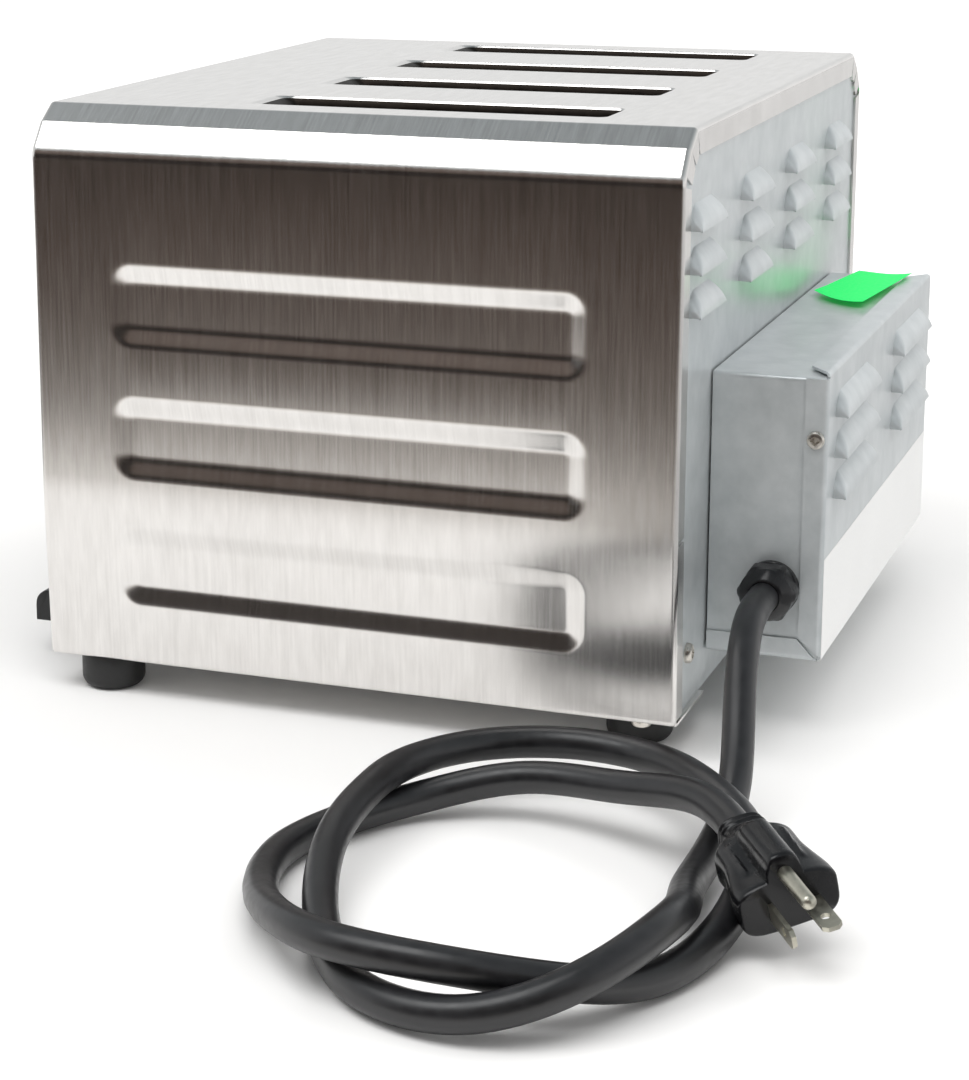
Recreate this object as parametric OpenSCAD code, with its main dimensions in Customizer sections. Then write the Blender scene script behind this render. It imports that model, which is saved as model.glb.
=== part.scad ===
// Four-slot commercial pop-up toaster: a bent sheet wrap over a toasting chamber, two lift
// carriages, a crumb tray, an electrical box on the rear and a mains lead with its plug.
// Millimetres, +Z up, front towards -Y, origin on the standing surface under the middle.

/* [Outer wrap] */
// Width over the sides
body_w = 317; // [312:1:340]
// Depth from the front edge to the rear edge
body_d = 254; // [250:1:280]
// Height of the wrap above its bottom edge
body_h = 217; // [212:1:240]
// Thickness of every bent sheet
sheet_t = 1; // [0.8:0.1:1.2]
// Distance that each side tucks in at its bottom edge
side_tuck = 3; // [1:0.5:5]
// Height of the bend in each side above the bottom edge
kink_h = 69; // [66:0.5:72]
// Reach of the shoulder across the top
shoulder_in = 17; // [14:0.5:19]
// Drop of the shoulder down the side
shoulder_drop = 16.7; // [14:0.1:20]
// Reach of the shoulder's middle bend
shoulder_mid_in = 8; // [6:0.5:10]
// Drop of the shoulder's middle bend
shoulder_mid_drop = 6.3; // [5:0.1:8]
// Width of the flanges turned in at the front and the rear
flange_w = 10; // [8:0.5:11]
// Width of the flanges turned in underneath
bottom_flange_w = 42; // [40:1:48]
// Width of the relief notch at each bend of a flange
relief_w = 1.6; // [1:0.1:2.5]

/* [Side pressings] */
// Length of a pressing along the side
pressing_l = 191; // [150:1:200]
// Height of a pressing
pressing_h = 32; // [24:1:36]
// Depth of a pressing
pressing_depth = 2.3; // [1.5:0.1:3]
// Width of the sloped border of a pressing
pressing_ramp = 6.7; // [4:0.1:9]
// Spacing of the pressings up the side
pressing_pitch = 51.5; // [50:0.5:53]
// Drop from the top to the middle of the first pressing
pressing_drop = 74; // [72:0.5:76]

/* [Bread slots] */
// Clear width of a slot
slot_w = 26; // [23:0.5:27]
// Clear length of a slot
slot_l = 130; // [120:1:140]
// Spacing of the slots
slot_pitch = 73; // [71:0.5:74]
// Middle of the slots behind the middle of the body
slot_y = 22; // [18:0.5:24]
// Radius of the drawn lip, as a bevel
lip_r = 2; // [1.5:0.1:3]
// Depth of the drawn lip
lip_h = 8; // [6:0.5:10]

/* [Panels and louvres] */
// Rear panel's bottom edge above the wrap's bottom edge
rear_panel_rise = 7; // [5:0.5:9]
// Front panel's bottom edge above the wrap's bottom edge
front_panel_rise = 13; // [12.5:0.5:15]
// Reach of a louvre's hood
louvre_out = 5; // [3:0.5:7]
// Height of a louvre's hood
louvre_h = 9; // [7:0.5:11]
// Upright nose of a louvre's hood
louvre_nose = 1.5; // [1:0.1:2.5]
// Slope of a hood's closed ends along its length
louvre_slope = 10; // [6:0.5:12]
// Length of a rear panel louvre
louvre_l = 38; // [34:1:50]
// Spacing of the rear panel's louvre columns
louvre_pitch = 78; // [72:1:79]
// Spacing of the louvre rows
louvre_row_pitch = 15.5; // [14.5:0.1:16.5]
// Drop from the top to the lower edge of the first row
louvre_drop = 36; // [32:0.5:40]
// Shift of the louvre columns to the right
louvre_shift = 11; // [6:0.5:13]

/* [Electrical box] */
// Width of the box over its cover
box_w = 220.5; // [214:0.5:226]
// Height of the box over its cover
box_h = 109.5; // [106:0.5:116]
// Depth from the rear panel to the cover's outer face
box_d = 44; // [42:0.5:50]
// Bottom of the box above the wrap's bottom edge
box_rise = 16; // [14:0.5:20]
// Width of the cover's flange over the box's top
cover_top_flange = 9; // [7:0.5:12]
// Width of the cover's upright flanges over the box's sides
cover_side_flange = 8.5; // [7:0.5:9]
// Height of the cover's lower flanges over the box's sides
cover_low_flange = 8; // [6:0.5:11]
// Width of the box's fixing flanges on the rear panel
box_flange_w = 10; // [8:0.5:12]
// Length of a cover louvre
box_louvre_l = 66.5; // [60:0.5:80]
// Spacing of the cover's two louvre columns
box_louvre_pitch = 117; // [105:1:120]
// Shift of the cover's louvres to the right
box_louvre_shift = 4.5; // [2:0.5:7]
// Drop from the box's top to the lower edge of the first row
box_louvre_drop = 19; // [17:0.5:24]

/* [Feet and fasteners] */
// Height of a foot
foot_h = 14; // [12:0.5:18]
// Diameter of a foot
foot_d = 25; // [22:0.5:26]
// Rounding of a foot's lower edge
foot_round = 3; // [1:0.5:4]
// Front feet in from the sides
front_foot_in = 16.5; // [15.5:0.5:20]
// Front feet back from the front edge
front_foot_back = 21; // [17:1:27]
// Rear feet in from the sides
rear_foot_in = 28.5; // [24:0.5:30]
// Rear feet forward from the rear edge
rear_foot_back = 20; // [17:0.5:21]
// Diameter of a foot's screw
foot_screw_d = 4.5; // [4:0.1:5]
// Diameter of a foot screw's head
foot_head_d = 9; // [8:0.5:10]
// Thickness of a foot screw's head
foot_head_h = 3; // [2:0.5:4]
// Depth of the recess for that head
foot_recess = 8; // [6:0.5:9]
// Diameter of a panel screw
screw_d = 4; // [3:0.1:4.5]
// Diameter of a panel screw's pan head
screw_head_d = 7.5; // [6.5:0.1:8]
// Height of a panel screw's pan head
screw_head_h = 2.4; // [1.8:0.1:3]
// Length of a panel screw under its head
screw_l = 6; // [5:0.5:8]
// Diameter of a cover screw
cover_screw_d = 3; // [2.5:0.1:3.5]
// Diameter of a cover screw's pan head
cover_head_d = 6; // [5:0.1:6.5]
// Height of a cover screw's pan head
cover_head_h = 2; // [1.5:0.1:2.5]
// Panel screws in from the sides
panel_screw_in = 21.5; // [19.5:0.5:24]
// Panel screws above the wrap's bottom edge
panel_screw_rise = 23; // [21:0.5:26]
// Bottom screws in from the wrap's bottom corner
bottom_screw_in = 5.5; // [5:0.1:7]
// Bottom screws in from the rear edge
bottom_screw_y = 14; // [12:0.5:16]
// Cover screws below the box's top
cover_screw_drop = 25; // [20:1:40]

/* [Toasting chamber] */
// Distance from a slot's end to the bulkhead beyond it
chamber_gap = 8; // [6:0.5:9]
// Distance from the outer heater card to the bulkhead's edge
chamber_margin = 9; // [7:0.5:10]
// Height of the bulkheads' cut-out over the tray
tray_tunnel_h = 11; // [10:0.5:12]
// Width of the bulkheads' foot and top flanges
bulkhead_flange = 7; // [5:0.5:7.5]
// Distance from a slot's middle to its heater cards
card_offset = 19.5; // [18.5:0.1:20.5]
// Thickness of a heater card
card_t = 1.2; // [0.8:0.1:1.6]
// Height of a heater card
card_h = 130; // [120:1:135]
// Drop from the top to a heater card's upper edge
card_drop = 26; // [24:0.5:30]
// Border of a card round its heater ribbon
ribbon_border = 8; // [5:0.5:10]
// Width of a heater ribbon
ribbon_w = 3; // [2:0.2:4]
// Thickness of a heater ribbon
ribbon_t = 0.4; // [0.3:0.05:0.6]
// Passes of a heater ribbon
ribbon_rows = 9; // [5:2:11]
// Distance from a slot's middle to its bread guards
guard_offset = 14.8; // [14.6:0.1:15.6]
// Diameter of a guard's rails
guard_rail_d = 2; // [1.5:0.1:2.2]
// Diameter of a guard's upright wires
guard_wire_d = 1.8; // [1.4:0.1:2]
// Upright wires of a guard
guard_wires = 6; // [4:1:9]
// Drop from the top to a guard's upper rail
guard_drop = 16; // [14:0.5:18]
// Height of a guard between its rails
guard_h = 137; // [130:1:140]

/* [Lift] */
// Travel of the bread lift
travel = 58; // [50:1:60]
// Drop from the top to the racks at rest
rack_depth = 83; // [81:0.5:86]
// Height of a rack's spine
spine_h = 10; // [8:0.5:12]
// Thickness of a rack's spine
spine_t = 3; // [2:0.5:4]
// Length of a rack's cross fingers
finger_l = 22; // [16:1:24]
// Thickness of a rack's cross fingers
finger_t = 3; // [2:0.5:4]
// Cross fingers of a rack
fingers = 8; // [5:1:10]
// Height of a carriage
carriage_h = 20; // [18:0.5:24]
// Thickness of a carriage's plate
carriage_t = 2; // [1.5:0.5:3]
// Gap between a carriage's plate and the bulkhead
carriage_gap = 4; // [3:0.5:5]
// Reach of a carriage's plate past its racks
rack_margin = 13; // [8:0.5:14]
// Diameter of a guide rod
rod_d = 6; // [5:0.5:8]
// Distance of the rods before the bulkhead
rod_offset = 28; // [26:0.5:30]
// Drop from the top to a rod's upper end
rod_drop = 26; // [24:0.5:30]
// Diameter of a carriage's bushing
bush_d = 12; // [11:0.5:14]
// Thickness of a lever arm
arm_t = 4; // [3:0.5:5]
// Height of a lever arm
arm_h = 12; // [10:0.5:14]
// Length of a lever arm inside its knob
arm_seat = 10; // [8:0.5:14]
// Mean diameter of a lift spring
spring_d = 9.4; // [9:0.1:11]
// Wire diameter of a lift spring
spring_wire = 1.4; // [1:0.1:1.6]
// Turns of a lift spring
spring_turns = 11; // [8:1:14]
// Height of the mechanism shelf over the base pan
shelf_h = 14; // [13:0.5:16]
// Height of a latch magnet
magnet_h = 22; // [18:0.5:24]
// Width of a latch magnet
magnet_w = 24; // [20:1:28]
// Depth of a latch magnet
magnet_d = 16; // [12:0.5:18]
// Distance of the magnets before the rods
magnet_offset = 20; // [18:0.5:22]
// Thickness of an armature's plate
armature_t = 3; // [2:0.5:4]
// Diameter of an armature's stem
armature_stem_d = 5; // [4:0.5:6]

/* [Controls] */
// Width of a lever knob
knob_w = 44; // [36:1:50]
// Height of a lever knob
knob_h = 15; // [14.5:0.5:18]
// Length of a lever knob
knob_l = 24; // [20:0.5:26]
// Gap between a lever knob and the body's front edge
knob_stand = 4; // [3:0.5:6]
// Diameter of a browning knob
dial_d = 32; // [28:1:34]
// Length of a browning knob
dial_l = 18; // [14:0.5:20]
// Browning knobs from the middle, across
dial_x = 38; // [34:0.5:42]
// Browning knobs above the wrap's bottom edge
dial_rise = 48; // [46:0.5:50]
// Diameter of a browning control's shaft
shaft_d = 6; // [5:0.5:7]
// Width of a browning control's body
pot_w = 18; // [14:0.5:20]
// Distance of the control board behind the front panel
board_stand = 9; // [8:0.5:10]
// Width of the control board
board_w = 104; // [90:1:110]
// Height of the control board
board_h = 80; // [70:1:84]
// Thickness of a circuit board
board_t = 1.6; // [1.2:0.1:2]
// Control board above the wrap's bottom edge
board_rise = 31; // [29:0.5:34]

/* [Crumb tray] */
// Width of the tray
tray_w = 224; // [200:1:226]
// Depth of the tray's pan
tray_h = 8; // [7:0.5:9]
// Gap between the tray's front wall and the body's front edge
tray_gap = 1; // [0.8:0.1:1.5]
// Width of the tray's pull
pull_w = 236; // [228:1:240]
// Reach of the tray's pull
pull_l = 24; // [20:0.5:25]
// Height of the tray's pull
pull_h = 13; // [11:0.5:13]
// Rounding of the pull's upper front edge
pull_round = 6; // [4:0.5:9]

/* [Cord and plug] */
// Diameter of the mains lead
cord_d = 11.5; // [9:0.5:11.5]
// Diameter of the gland's base ring
gland_base_d = 20; // [18:0.5:21]
// Thickness of the gland's base ring
gland_base_t = 2.6; // [2:0.1:3]
// Width of the gland's nut over its flats
gland_nut_w = 20; // [18:0.5:22]
// Diameter of the gland's thread
gland_thread_d = 16; // [14:0.5:17]
// Length of the gland's thread inside the box
gland_thread_l = 9; // [8:0.5:12]
// Length of the gland outside the box
gland_out = 14.75; // [13:0.25:18]
// Gland's axis behind the rear panel
gland_back = 25; // [22:0.5:27]
// Gland's axis above the box's bottom
gland_rise = 27; // [22:0.5:40]
// Straight length of the lead at the gland
cord_straight = 28; // [24:1:34]
// Thickness of the gland's lock nut
locknut_t = 4; // [3:0.5:5]
// Length of the plug from its neck to its face
plug_l = 40; // [36:1:46]
// Length of the plug's neck
neck_l = 19; // [16:0.5:22]
// Width of the plug's face
plug_w = 31; // [30:0.5:34]
// Length of the plug's flat blades
blade_l = 18; // [16:0.5:20]
// Width of the plug's flat blades
blade_w = 6.35; // [6:0.05:6.5]
// Thickness of the plug's flat blades
blade_t = 1.5; // [1.4:0.05:1.6]
// Spacing of the plug's flat blades
blade_pitch = 12.7; // [12.5:0.1:13]
// Diameter of the plug's ground pin
ground_d = 4.8; // [4.6:0.1:5]
// Length of the plug's ground pin
ground_l = 20.5; // [19:0.5:22]

/* [Clearances] */
// Radial gap of a pin or screw in its hole
fit_gap = 0.05; // [0.02:0.01:0.1]
// Gap of a part that passes an edge
pass_gap = 1; // [0.8:0.1:1.2]
// Gap under the sliding tray
slide_gap = 0.3; // [0.2:0.05:0.4]
// Gap at each end of a lift spring
spring_gap = 0.2; // [0.1:0.05:0.3]
// Air gap between a latched armature and its magnet
latch_gap = 0.4; // [0.3:0.1:0.8]

/* [Hidden] */
$fn = 48;

// Past the reach of any cut
far = 400;
// Overlap that makes a cut or a fusion clean
over = 0.5;
// Length of a screw hole's cut
hole_l = 30;

// Heights, from the standing surface up
wrap_z = foot_h;
pan_z = wrap_z + sheet_t;
pan_top = pan_z + sheet_t;
top_z = wrap_z + body_h;
top_in = top_z - sheet_t;
kink_z = wrap_z + kink_h;
shelf_top = pan_top + shelf_h;
tray_z = pan_top + slide_gap;
rack_top = top_z - rack_depth;
carriage_z = rack_top - spine_h;
arm_z = carriage_z + (carriage_h - arm_h) / 2;
magnet_top = shelf_top + magnet_h;
armature_z = magnet_top + latch_gap + travel;
rod_top = top_z - rod_drop;
box_z = wrap_z + box_rise;
box_top = box_z + box_h;

// Depths, from the middle of the body towards the rear
panel_out = body_d / 2 - sheet_t;
panel_in = panel_out - sheet_t;
chamber_front = slot_y - slot_l / 2 - chamber_gap;
chamber_rear = slot_y + slot_l / 2 + chamber_gap;
bulkhead_face = chamber_front - sheet_t;
carriage_rear = bulkhead_face - carriage_gap;
rod_y = bulkhead_face - rod_offset;
magnet_y = rod_y - magnet_offset;
arm_end = -body_d / 2 - knob_stand - arm_seat;
board_y = -panel_in + board_stand;
cover_y = panel_out + box_d;
tray_front = -body_d / 2 - tray_gap;
pull_y = tray_front - sheet_t;

// The overall reach in front and behind, which puts the origin under the middle
front_reach = max(body_d / 2 + knob_stand + knob_l, -pull_y + pull_l);
rear_reach = cover_y + louvre_out;
shift_y = (front_reach - rear_reach) / 2;

// Widths, from the middle
slot_xs = [for (i = [0:3]) (i - 1.5) * slot_pitch];
lever_x = slot_pitch;
chamber_half = 1.5 * slot_pitch + card_offset + chamber_margin;
tunnel_half = pull_w / 2;
carriage_half = slot_pitch / 2 + rack_margin;
pan_half = body_w / 2 - side_tuck - sheet_t - pass_gap;
box_half = box_w / 2;
bottom_screw_x = body_w / 2 - side_tuck - bottom_screw_in;
panel_screw_x = body_w / 2 - panel_screw_in;
front_foot_x = body_w / 2 - front_foot_in;
front_foot_y = body_d / 2 - front_foot_back;
rear_foot_x = body_w / 2 - rear_foot_in;
rear_foot_y = body_d / 2 - rear_foot_back;
tab_w = 16;
tab_h = 30;

// Right side of the wrap's outline, from its bottom edge up to the flat top
wrap_side = [
    [body_w / 2 - side_tuck, wrap_z],
    [body_w / 2, kink_z],
    [body_w / 2, top_z - shoulder_drop],
    [body_w / 2 - shoulder_mid_in, top_z - shoulder_mid_drop],
    [body_w / 2 - shoulder_in, top_z]];
wrap_outline = both_halves(wrap_side);
wrap_section = both_halves(concat([wrap_side[0] - [bottom_flange_w, 0]], wrap_side));

// Mouth of the gland, where the lead starts
gland_x = box_half - sheet_t + gland_out;
gland_y = shift_y + panel_out + gland_back;
gland_z = box_z + gland_rise;

// Route of the mains lead from the gland to the plug's neck: along the table under its own
// later turns, round twice, over the first run and into the plug
cord_route = [
    [gland_x, gland_y, gland_z], [gland_x + cord_straight, gland_y, gland_z],
    [182, 146, 37], [209, 153, 13], [245, 153, 6], [284, 153, 8],
    [319, 163, 19], [348, 164, 25], [379, 151, 19], [396, 119, 7], [386, 81, 6], [358, 61, 6],
    [329, 47, 11], [297, 39, 18], [264, 40, 21], [234, 40, 19], [206, 58, 19], [192, 93, 19],
    [203, 126, 20], [227, 145, 23], [249, 168, 19], [280, 174, 12], [317, 171, 6], [353, 160, 6],
    [374, 134, 14], [386, 105, 20], [381, 67, 19], [357, 43, 14], [329, 26, 7], [294, 16, 6],
    [259, 28, 6], [233, 48, 7], [221, 82, 17], [234, 119, 19], [249, 151, 29], [275, 169, 26]];
cord_last = len(cord_route) - 1;
cord_steps = 2;
cord_sides = 10;
measure_steps = 8;
plug_dir = cord_route[cord_last] - cord_route[cord_last - 1];
plug_turn = atan2(plug_dir[1], plug_dir[0]);
plug_tilt = atan2(-plug_dir[2], norm([plug_dir[0], plug_dir[1]]));
plug_roll = 14;
blade_drop = 4;
ground_rise = 7.9;

// Outline helpers

// The given right half of an outline, followed by its mirror image
function both_halves(p) = concat(p, [for (i = [len(p) - 1:-1:0]) [-p[i][0], p[i][1]]]);

// Unit vector to the left of the way from a to b
function left_of(a, b) = [a[1] - b[1], b[0] - a[0]] / norm(b - a);

// A path moved to its left by t, with its corners mitred
function inset_path(p, t) = [for (i = [0:len(p) - 1])
    let (last = len(p) - 1)
    let (before = left_of(p[max(i - 1, 0)], p[max(i, 1)]))
    let (after = left_of(p[min(i, last - 1)], p[min(i + 1, last)]))
    p[i] + t * (before + after) / (1 + before * after)];

function reversed(p) = [for (i = [len(p) - 1:-1:0]) p[i]];

// Closed outline of a bent sheet of thickness t on the left of a path
function strip(p, t) = concat(p, reversed(inset_path(p, t)));

// Half width of the wrap at a height below its shoulder
function side_x(z) = body_w / 2 - (z < kink_z ? side_tuck * (kink_z - z) / kink_h : 0);

// Outline of a panel that fits inside the wrap and starts at height z
function panel_outline(z) = inset_path(both_halves(concat([[side_x(z), z]],
    [for (i = [1:len(wrap_side) - 1]) wrap_side[i]])), sheet_t + fit_gap);

// Corner arc of radius r about c, from angle a to angle b
function arc(c, r, a, b, n = 6) = [for (i = [0:n])
    let (turn = a + (b - a) * i / n) c + r * [cos(turn), sin(turn)]];

// Rectangle w by h about the origin with corners of radius r
function rounded(w, h, r) = concat(
    arc([w / 2 - r, h / 2 - r], r, 0, 90), arc([r - w / 2, h / 2 - r], r, 90, 180),
    arc([r - w / 2, r - h / 2], r, 180, 270), arc([w / 2 - r, r - h / 2], r, 270, 360));

// Section of a drawn slot of clear size s: straight walls under a bevelled lip
function lip_section(s, top, bottom) = [
    [-s / 2 - lip_r, top + over], [-s / 2 - lip_r, top], [-s / 2, top - lip_r], [-s / 2, bottom],
    [s / 2, bottom], [s / 2, top - lip_r], [s / 2 + lip_r, top], [s / 2 + lip_r, top + over]];

// Sloped section of a pressing of size s, from outside the sheet down to its floor
function dish_section(s, out) = let (spread = out * pressing_ramp / pressing_depth) [
    [-out, -s / 2 - spread], [pressing_depth, pressing_ramp - s / 2],
    [pressing_depth, s / 2 - pressing_ramp], [-out, s / 2 + spread]];

// Section of a louvre's hood, moved in by t
function hood_path(t) = inset_path([[louvre_out, 0], [louvre_out, louvre_nose], [0, louvre_h]], t);

// Outline of a ribbon that goes to and fro in rows between two corners
function ribbon_outline(y0, z0, y1, z1) =
    let (step = (z1 - z0 - ribbon_w) / (ribbon_rows - 1))
    let (gaps = [for (i = [0:ribbon_rows - 2]) [z0 + i * step + ribbon_w, z0 + (i + 1) * step]])
    concat([[y0, z0], [y1, z0]],
        [for (i = [1:2:ribbon_rows - 2]) each [[y1, gaps[i][0]], [y0 + ribbon_w, gaps[i][0]],
            [y0 + ribbon_w, gaps[i][1]], [y1, gaps[i][1]]]],
        [[y1, z1], [y0, z1]],
        [for (i = [ribbon_rows - 3:-2:0]) each [[y0, gaps[i][1]], [y1 - ribbon_w, gaps[i][1]],
            [y1 - ribbon_w, gaps[i][0]], [y0, gaps[i][0]]]]);

// Swept tubes

function unit(v) = v / norm(v);

// Point u of the way along span i of a smooth curve over the control points q
function spline_point(q, i, u) = (pow(1 - u, 3) * q[i - 1] + (3 * pow(u, 3) - 6 * u * u + 4) * q[i]
    + (-3 * pow(u, 3) + 3 * u * u + 3 * u + 1) * q[i + 1] + pow(u, 3) * q[i + 2]) / 6;

// Smooth curve from the first to the last point of a route, with steps to a span
function smooth(p, steps) = let (n = len(p) - 1)
    let (q = concat([2 * p[0] - p[1]], p, [2 * p[n] - p[n - 1]]))
    concat([for (i = [1:n]) for (s = [0:steps - 1]) spline_point(q, i, s / steps)], [p[n]]);

// Direction of a path at point i, with its end directions given
function heading(path, i, first, final) = unit(i == 0 ? first
    : i == len(path) - 1 ? final : path[i + 1] - path[i - 1]);

// Rings of a round tube of radius r and n sides along a path
function tube_points(path, r, n, first, final) = [for (i = [0:len(path) - 1])
    let (ahead = heading(path, i, first, final))
    let (side = unit(cross(ahead, [0, 0, 1])))
    let (up = cross(side, ahead))
    for (k = [0:n - 1]) path[i] + r * (cos(360 * k / n) * side + sin(360 * k / n) * up)];

// Triangles between the rings of a tube, and over its two ends
function tube_faces(rings, n) = concat(
    [for (i = [0:rings - 2]) for (k = [0:n - 1])
        let (a = i * n + k, b = i * n + (k + 1) % n)
        each [[a, b, b + n], [a, b + n, a + n]]],
    [for (k = [1:n - 2]) [0, k + 1, k]],
    [for (k = [1:n - 2]) [(rings - 1) * n, (rings - 1) * n + k, (rings - 1) * n + k + 1]]);

// Least distance between points of a path that lie more than skip points apart
function least_gap(path, skip) = min([for (i = [0:len(path) - 1 - skip])
    for (j = [i + skip:len(path) - 1]) norm(path[i] - path[j])]);

module tube(path, d, n, first, final) {
    polyhedron(tube_points(path, d / 2, n, first, final), tube_faces(len(path), n));
}

// Placing helpers

// Moves the body's middle so that the origin lies under the middle of the whole toaster
module placed() {
    translate([0, shift_y, 0]) children();
}

// Extrudes an outline in X and Z along Y
module along_y(y0, y1) {
    translate([0, y1, 0]) rotate([90, 0, 0]) linear_extrude(y1 - y0) children();
}

// Extrudes an outline in Y and Z along X
module along_x(x0, x1) {
    translate([x0, 0, 0]) rotate([90, 0, 90]) linear_extrude(x1 - x0) children();
}

// A block between two opposite corners
module block(a, b) {
    translate(a) cube(b - a);
}

module both_sides() {
    children();
    mirror([1, 0, 0]) children();
}

module four_feet() {
    both_sides() translate([front_foot_x, -front_foot_y, 0]) children();
    both_sides() translate([rear_foot_x, rear_foot_y, 0]) children();
}

module at_bottom_screws() {
    both_sides() translate([bottom_screw_x, body_d / 2 - bottom_screw_y, wrap_z]) children();
}

// Panel screws point inwards along +Z of their own frame
module at_panel_screws() {
    both_sides() {
        translate([panel_screw_x, panel_out, wrap_z + panel_screw_rise]) rotate([90, 0, 0]) children();
        translate([panel_screw_x, -panel_out, wrap_z + panel_screw_rise]) rotate([-90, 0, 0]) children();
    }
}

module at_cover_screws() {
    both_sides() translate([box_half, cover_y - cover_side_flange / 2, box_top - cover_screw_drop])
        rotate([0, -90, 0]) children();
}

// A hole for a screw of diameter d, along Z
module screw_hole(d) {
    cylinder(h = hole_l, d = d + 2 * fit_gap, center = true);
}

// A pan-head screw whose head's underside lies at the origin and whose shank runs along +Z
module pan_screw(d, head_d, head_h, l) {
    rotate_extrude() polygon(concat([[0, l], [0, -head_h]],
        arc([head_d / 2 - head_h * 0.6, -head_h * 0.4], head_h * 0.6, -90, 0),
        [[head_d / 2, 0], [d / 2, 0], [d / 2, l]]));
}

// Outer wrap

// Sloped block that presses a recess into a side, reaching out past the sheet
module pressing(out) {
    intersection() {
        linear_extrude(far, center = true) polygon(dish_section(pressing_l, out));
        rotate([90, 0, 0]) linear_extrude(far, center = true) polygon(dish_section(pressing_h, out));
    }
}

// Puts a pressing of depth along +X on the right side, row 0 the highest
module on_side(row) {
    z = top_z - pressing_drop - row * pressing_pitch;
    lean = z < kink_z ? atan(side_tuck / kink_h) : 0;
    translate([side_x(z), 0, z]) rotate([0, lean, 0]) rotate([0, 0, 180]) children();
}

module slot_form(w, l, top, bottom) {
    intersection() {
        along_y(-far, far) polygon(lip_section(w, top, bottom));
        along_x(-far, far) polygon(lip_section(l, top, bottom));
    }
}

// Cuts the front and rear flanges open at each bend of the sheet
module bend_reliefs() {
    inner = inset_path(wrap_outline, flange_w);
    both_sides() for (i = [1:len(wrap_side) - 1]) {
        way = inner[i] - wrap_outline[i];
        along_y(-far, far) translate(wrap_outline[i]) rotate(atan2(way[1], way[0]))
            translate([2 * sheet_t, -relief_w / 2]) square([norm(way), relief_w]);
    }
}

module outer_wrap() {
    color("gainsboro") placed() difference() {
        union() {
            along_y(-body_d / 2, body_d / 2) polygon(strip(wrap_section, sheet_t));
            along_y(-body_d / 2, -panel_out) polygon(strip(wrap_outline, flange_w));
            along_y(panel_out, body_d / 2) polygon(strip(wrap_outline, flange_w));
            both_sides() for (row = [0:2]) on_side(row) translate([sheet_t, 0, 0]) pressing(over);
            for (x = slot_xs) translate([x, slot_y, 0])
                slot_form(slot_w + 2 * sheet_t, slot_l + 2 * sheet_t, top_in, top_z - lip_h);
        }
        both_sides() for (row = [0:2]) on_side(row) pressing(over);
        for (x = slot_xs) translate([x, slot_y, 0])
            slot_form(slot_w, slot_l, top_z, top_z - lip_h - over);
        bend_reliefs();
        four_feet() translate([0, 0, wrap_z]) screw_hole(foot_screw_d);
        at_bottom_screws() screw_hole(screw_d);
    }
}

// Panels, base and chamber

// A louvre's hood on a panel whose outer face is at y = 0, open below; t hollows it
module hood(l, t) {
    path = hood_path(t);
    low = t > 0 ? over : 0;
    back = t > 0 ? -2 * sheet_t : -sheet_t / 2;
    top = path[len(path) - 1][1];
    intersection() {
        along_x(-far, far) polygon(concat([[back, -low], [path[0][0], -low]],
            low > 0 ? path : [path[1], path[2]], [[back, top]]));
        along_y(-far, far) polygon([[t - l / 2, -over], [l / 2 - t, -over], [l / 2 - t, 0],
            [l / 2 - t - louvre_slope, louvre_h], [louvre_slope + t - l / 2, louvre_h], [t - l / 2, 0]]);
    }
}

module at_rear_louvres() {
    for (col = [0:3]) for (row = [0:2])
        translate([louvre_shift + (col - 1.5) * louvre_pitch, panel_out,
            top_z - louvre_drop - row * louvre_row_pitch]) children();
}

module at_cover_louvres() {
    for (col = [0:1]) for (row = [0:2])
        translate([box_louvre_shift + (col - 0.5) * box_louvre_pitch, cover_y,
            box_top - box_louvre_drop - row * louvre_row_pitch]) children();
}

module rear_panel() {
    wire_hole_d = 20;
    color("silver") placed() difference() {
        union() {
            along_y(panel_in, panel_out) polygon(panel_outline(wrap_z + rear_panel_rise));
            at_rear_louvres() hood(louvre_l, 0);
        }
        at_rear_louvres() hood(louvre_l, sheet_t);
        at_panel_screws() screw_hole(screw_d);
        along_y(0, far) translate([0, box_z + box_h / 3]) circle(d = wire_hole_d);
    }
}

module front_panel() {
    slot_h = travel + arm_h + 2 * pass_gap;
    color("gainsboro") placed() difference() {
        along_y(-panel_out, -panel_in) polygon(panel_outline(wrap_z + front_panel_rise));
        both_sides() {
            block([lever_x - arm_t / 2 - pass_gap, -far, arm_z - travel - pass_gap],
                [lever_x + arm_t / 2 + pass_gap, 0, arm_z - travel - pass_gap + slot_h]);
            along_y(-far, 0) translate([dial_x, wrap_z + dial_rise]) circle(d = shaft_d + 2 * pass_gap);
        }
        at_panel_screws() screw_hole(screw_d);
    }
}

module base_pan() {
    color("darkgray") placed() difference() {
        union() {
            block([-pan_half, -panel_in, pan_z], [pan_half, panel_in, pan_top]);
            block([-pan_half, panel_in - sheet_t, pan_z], [pan_half, panel_in, pan_z + tab_h]);
            both_sides() block([panel_screw_x - tab_w / 2, -panel_in, pan_z],
                [panel_screw_x + tab_w / 2, sheet_t - panel_in, pan_z + tab_h]);
        }
        four_feet() translate([0, 0, wrap_z]) screw_hole(foot_screw_d);
        at_bottom_screws() screw_hole(screw_d);
        at_panel_screws() screw_hole(screw_d);
    }
}

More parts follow.
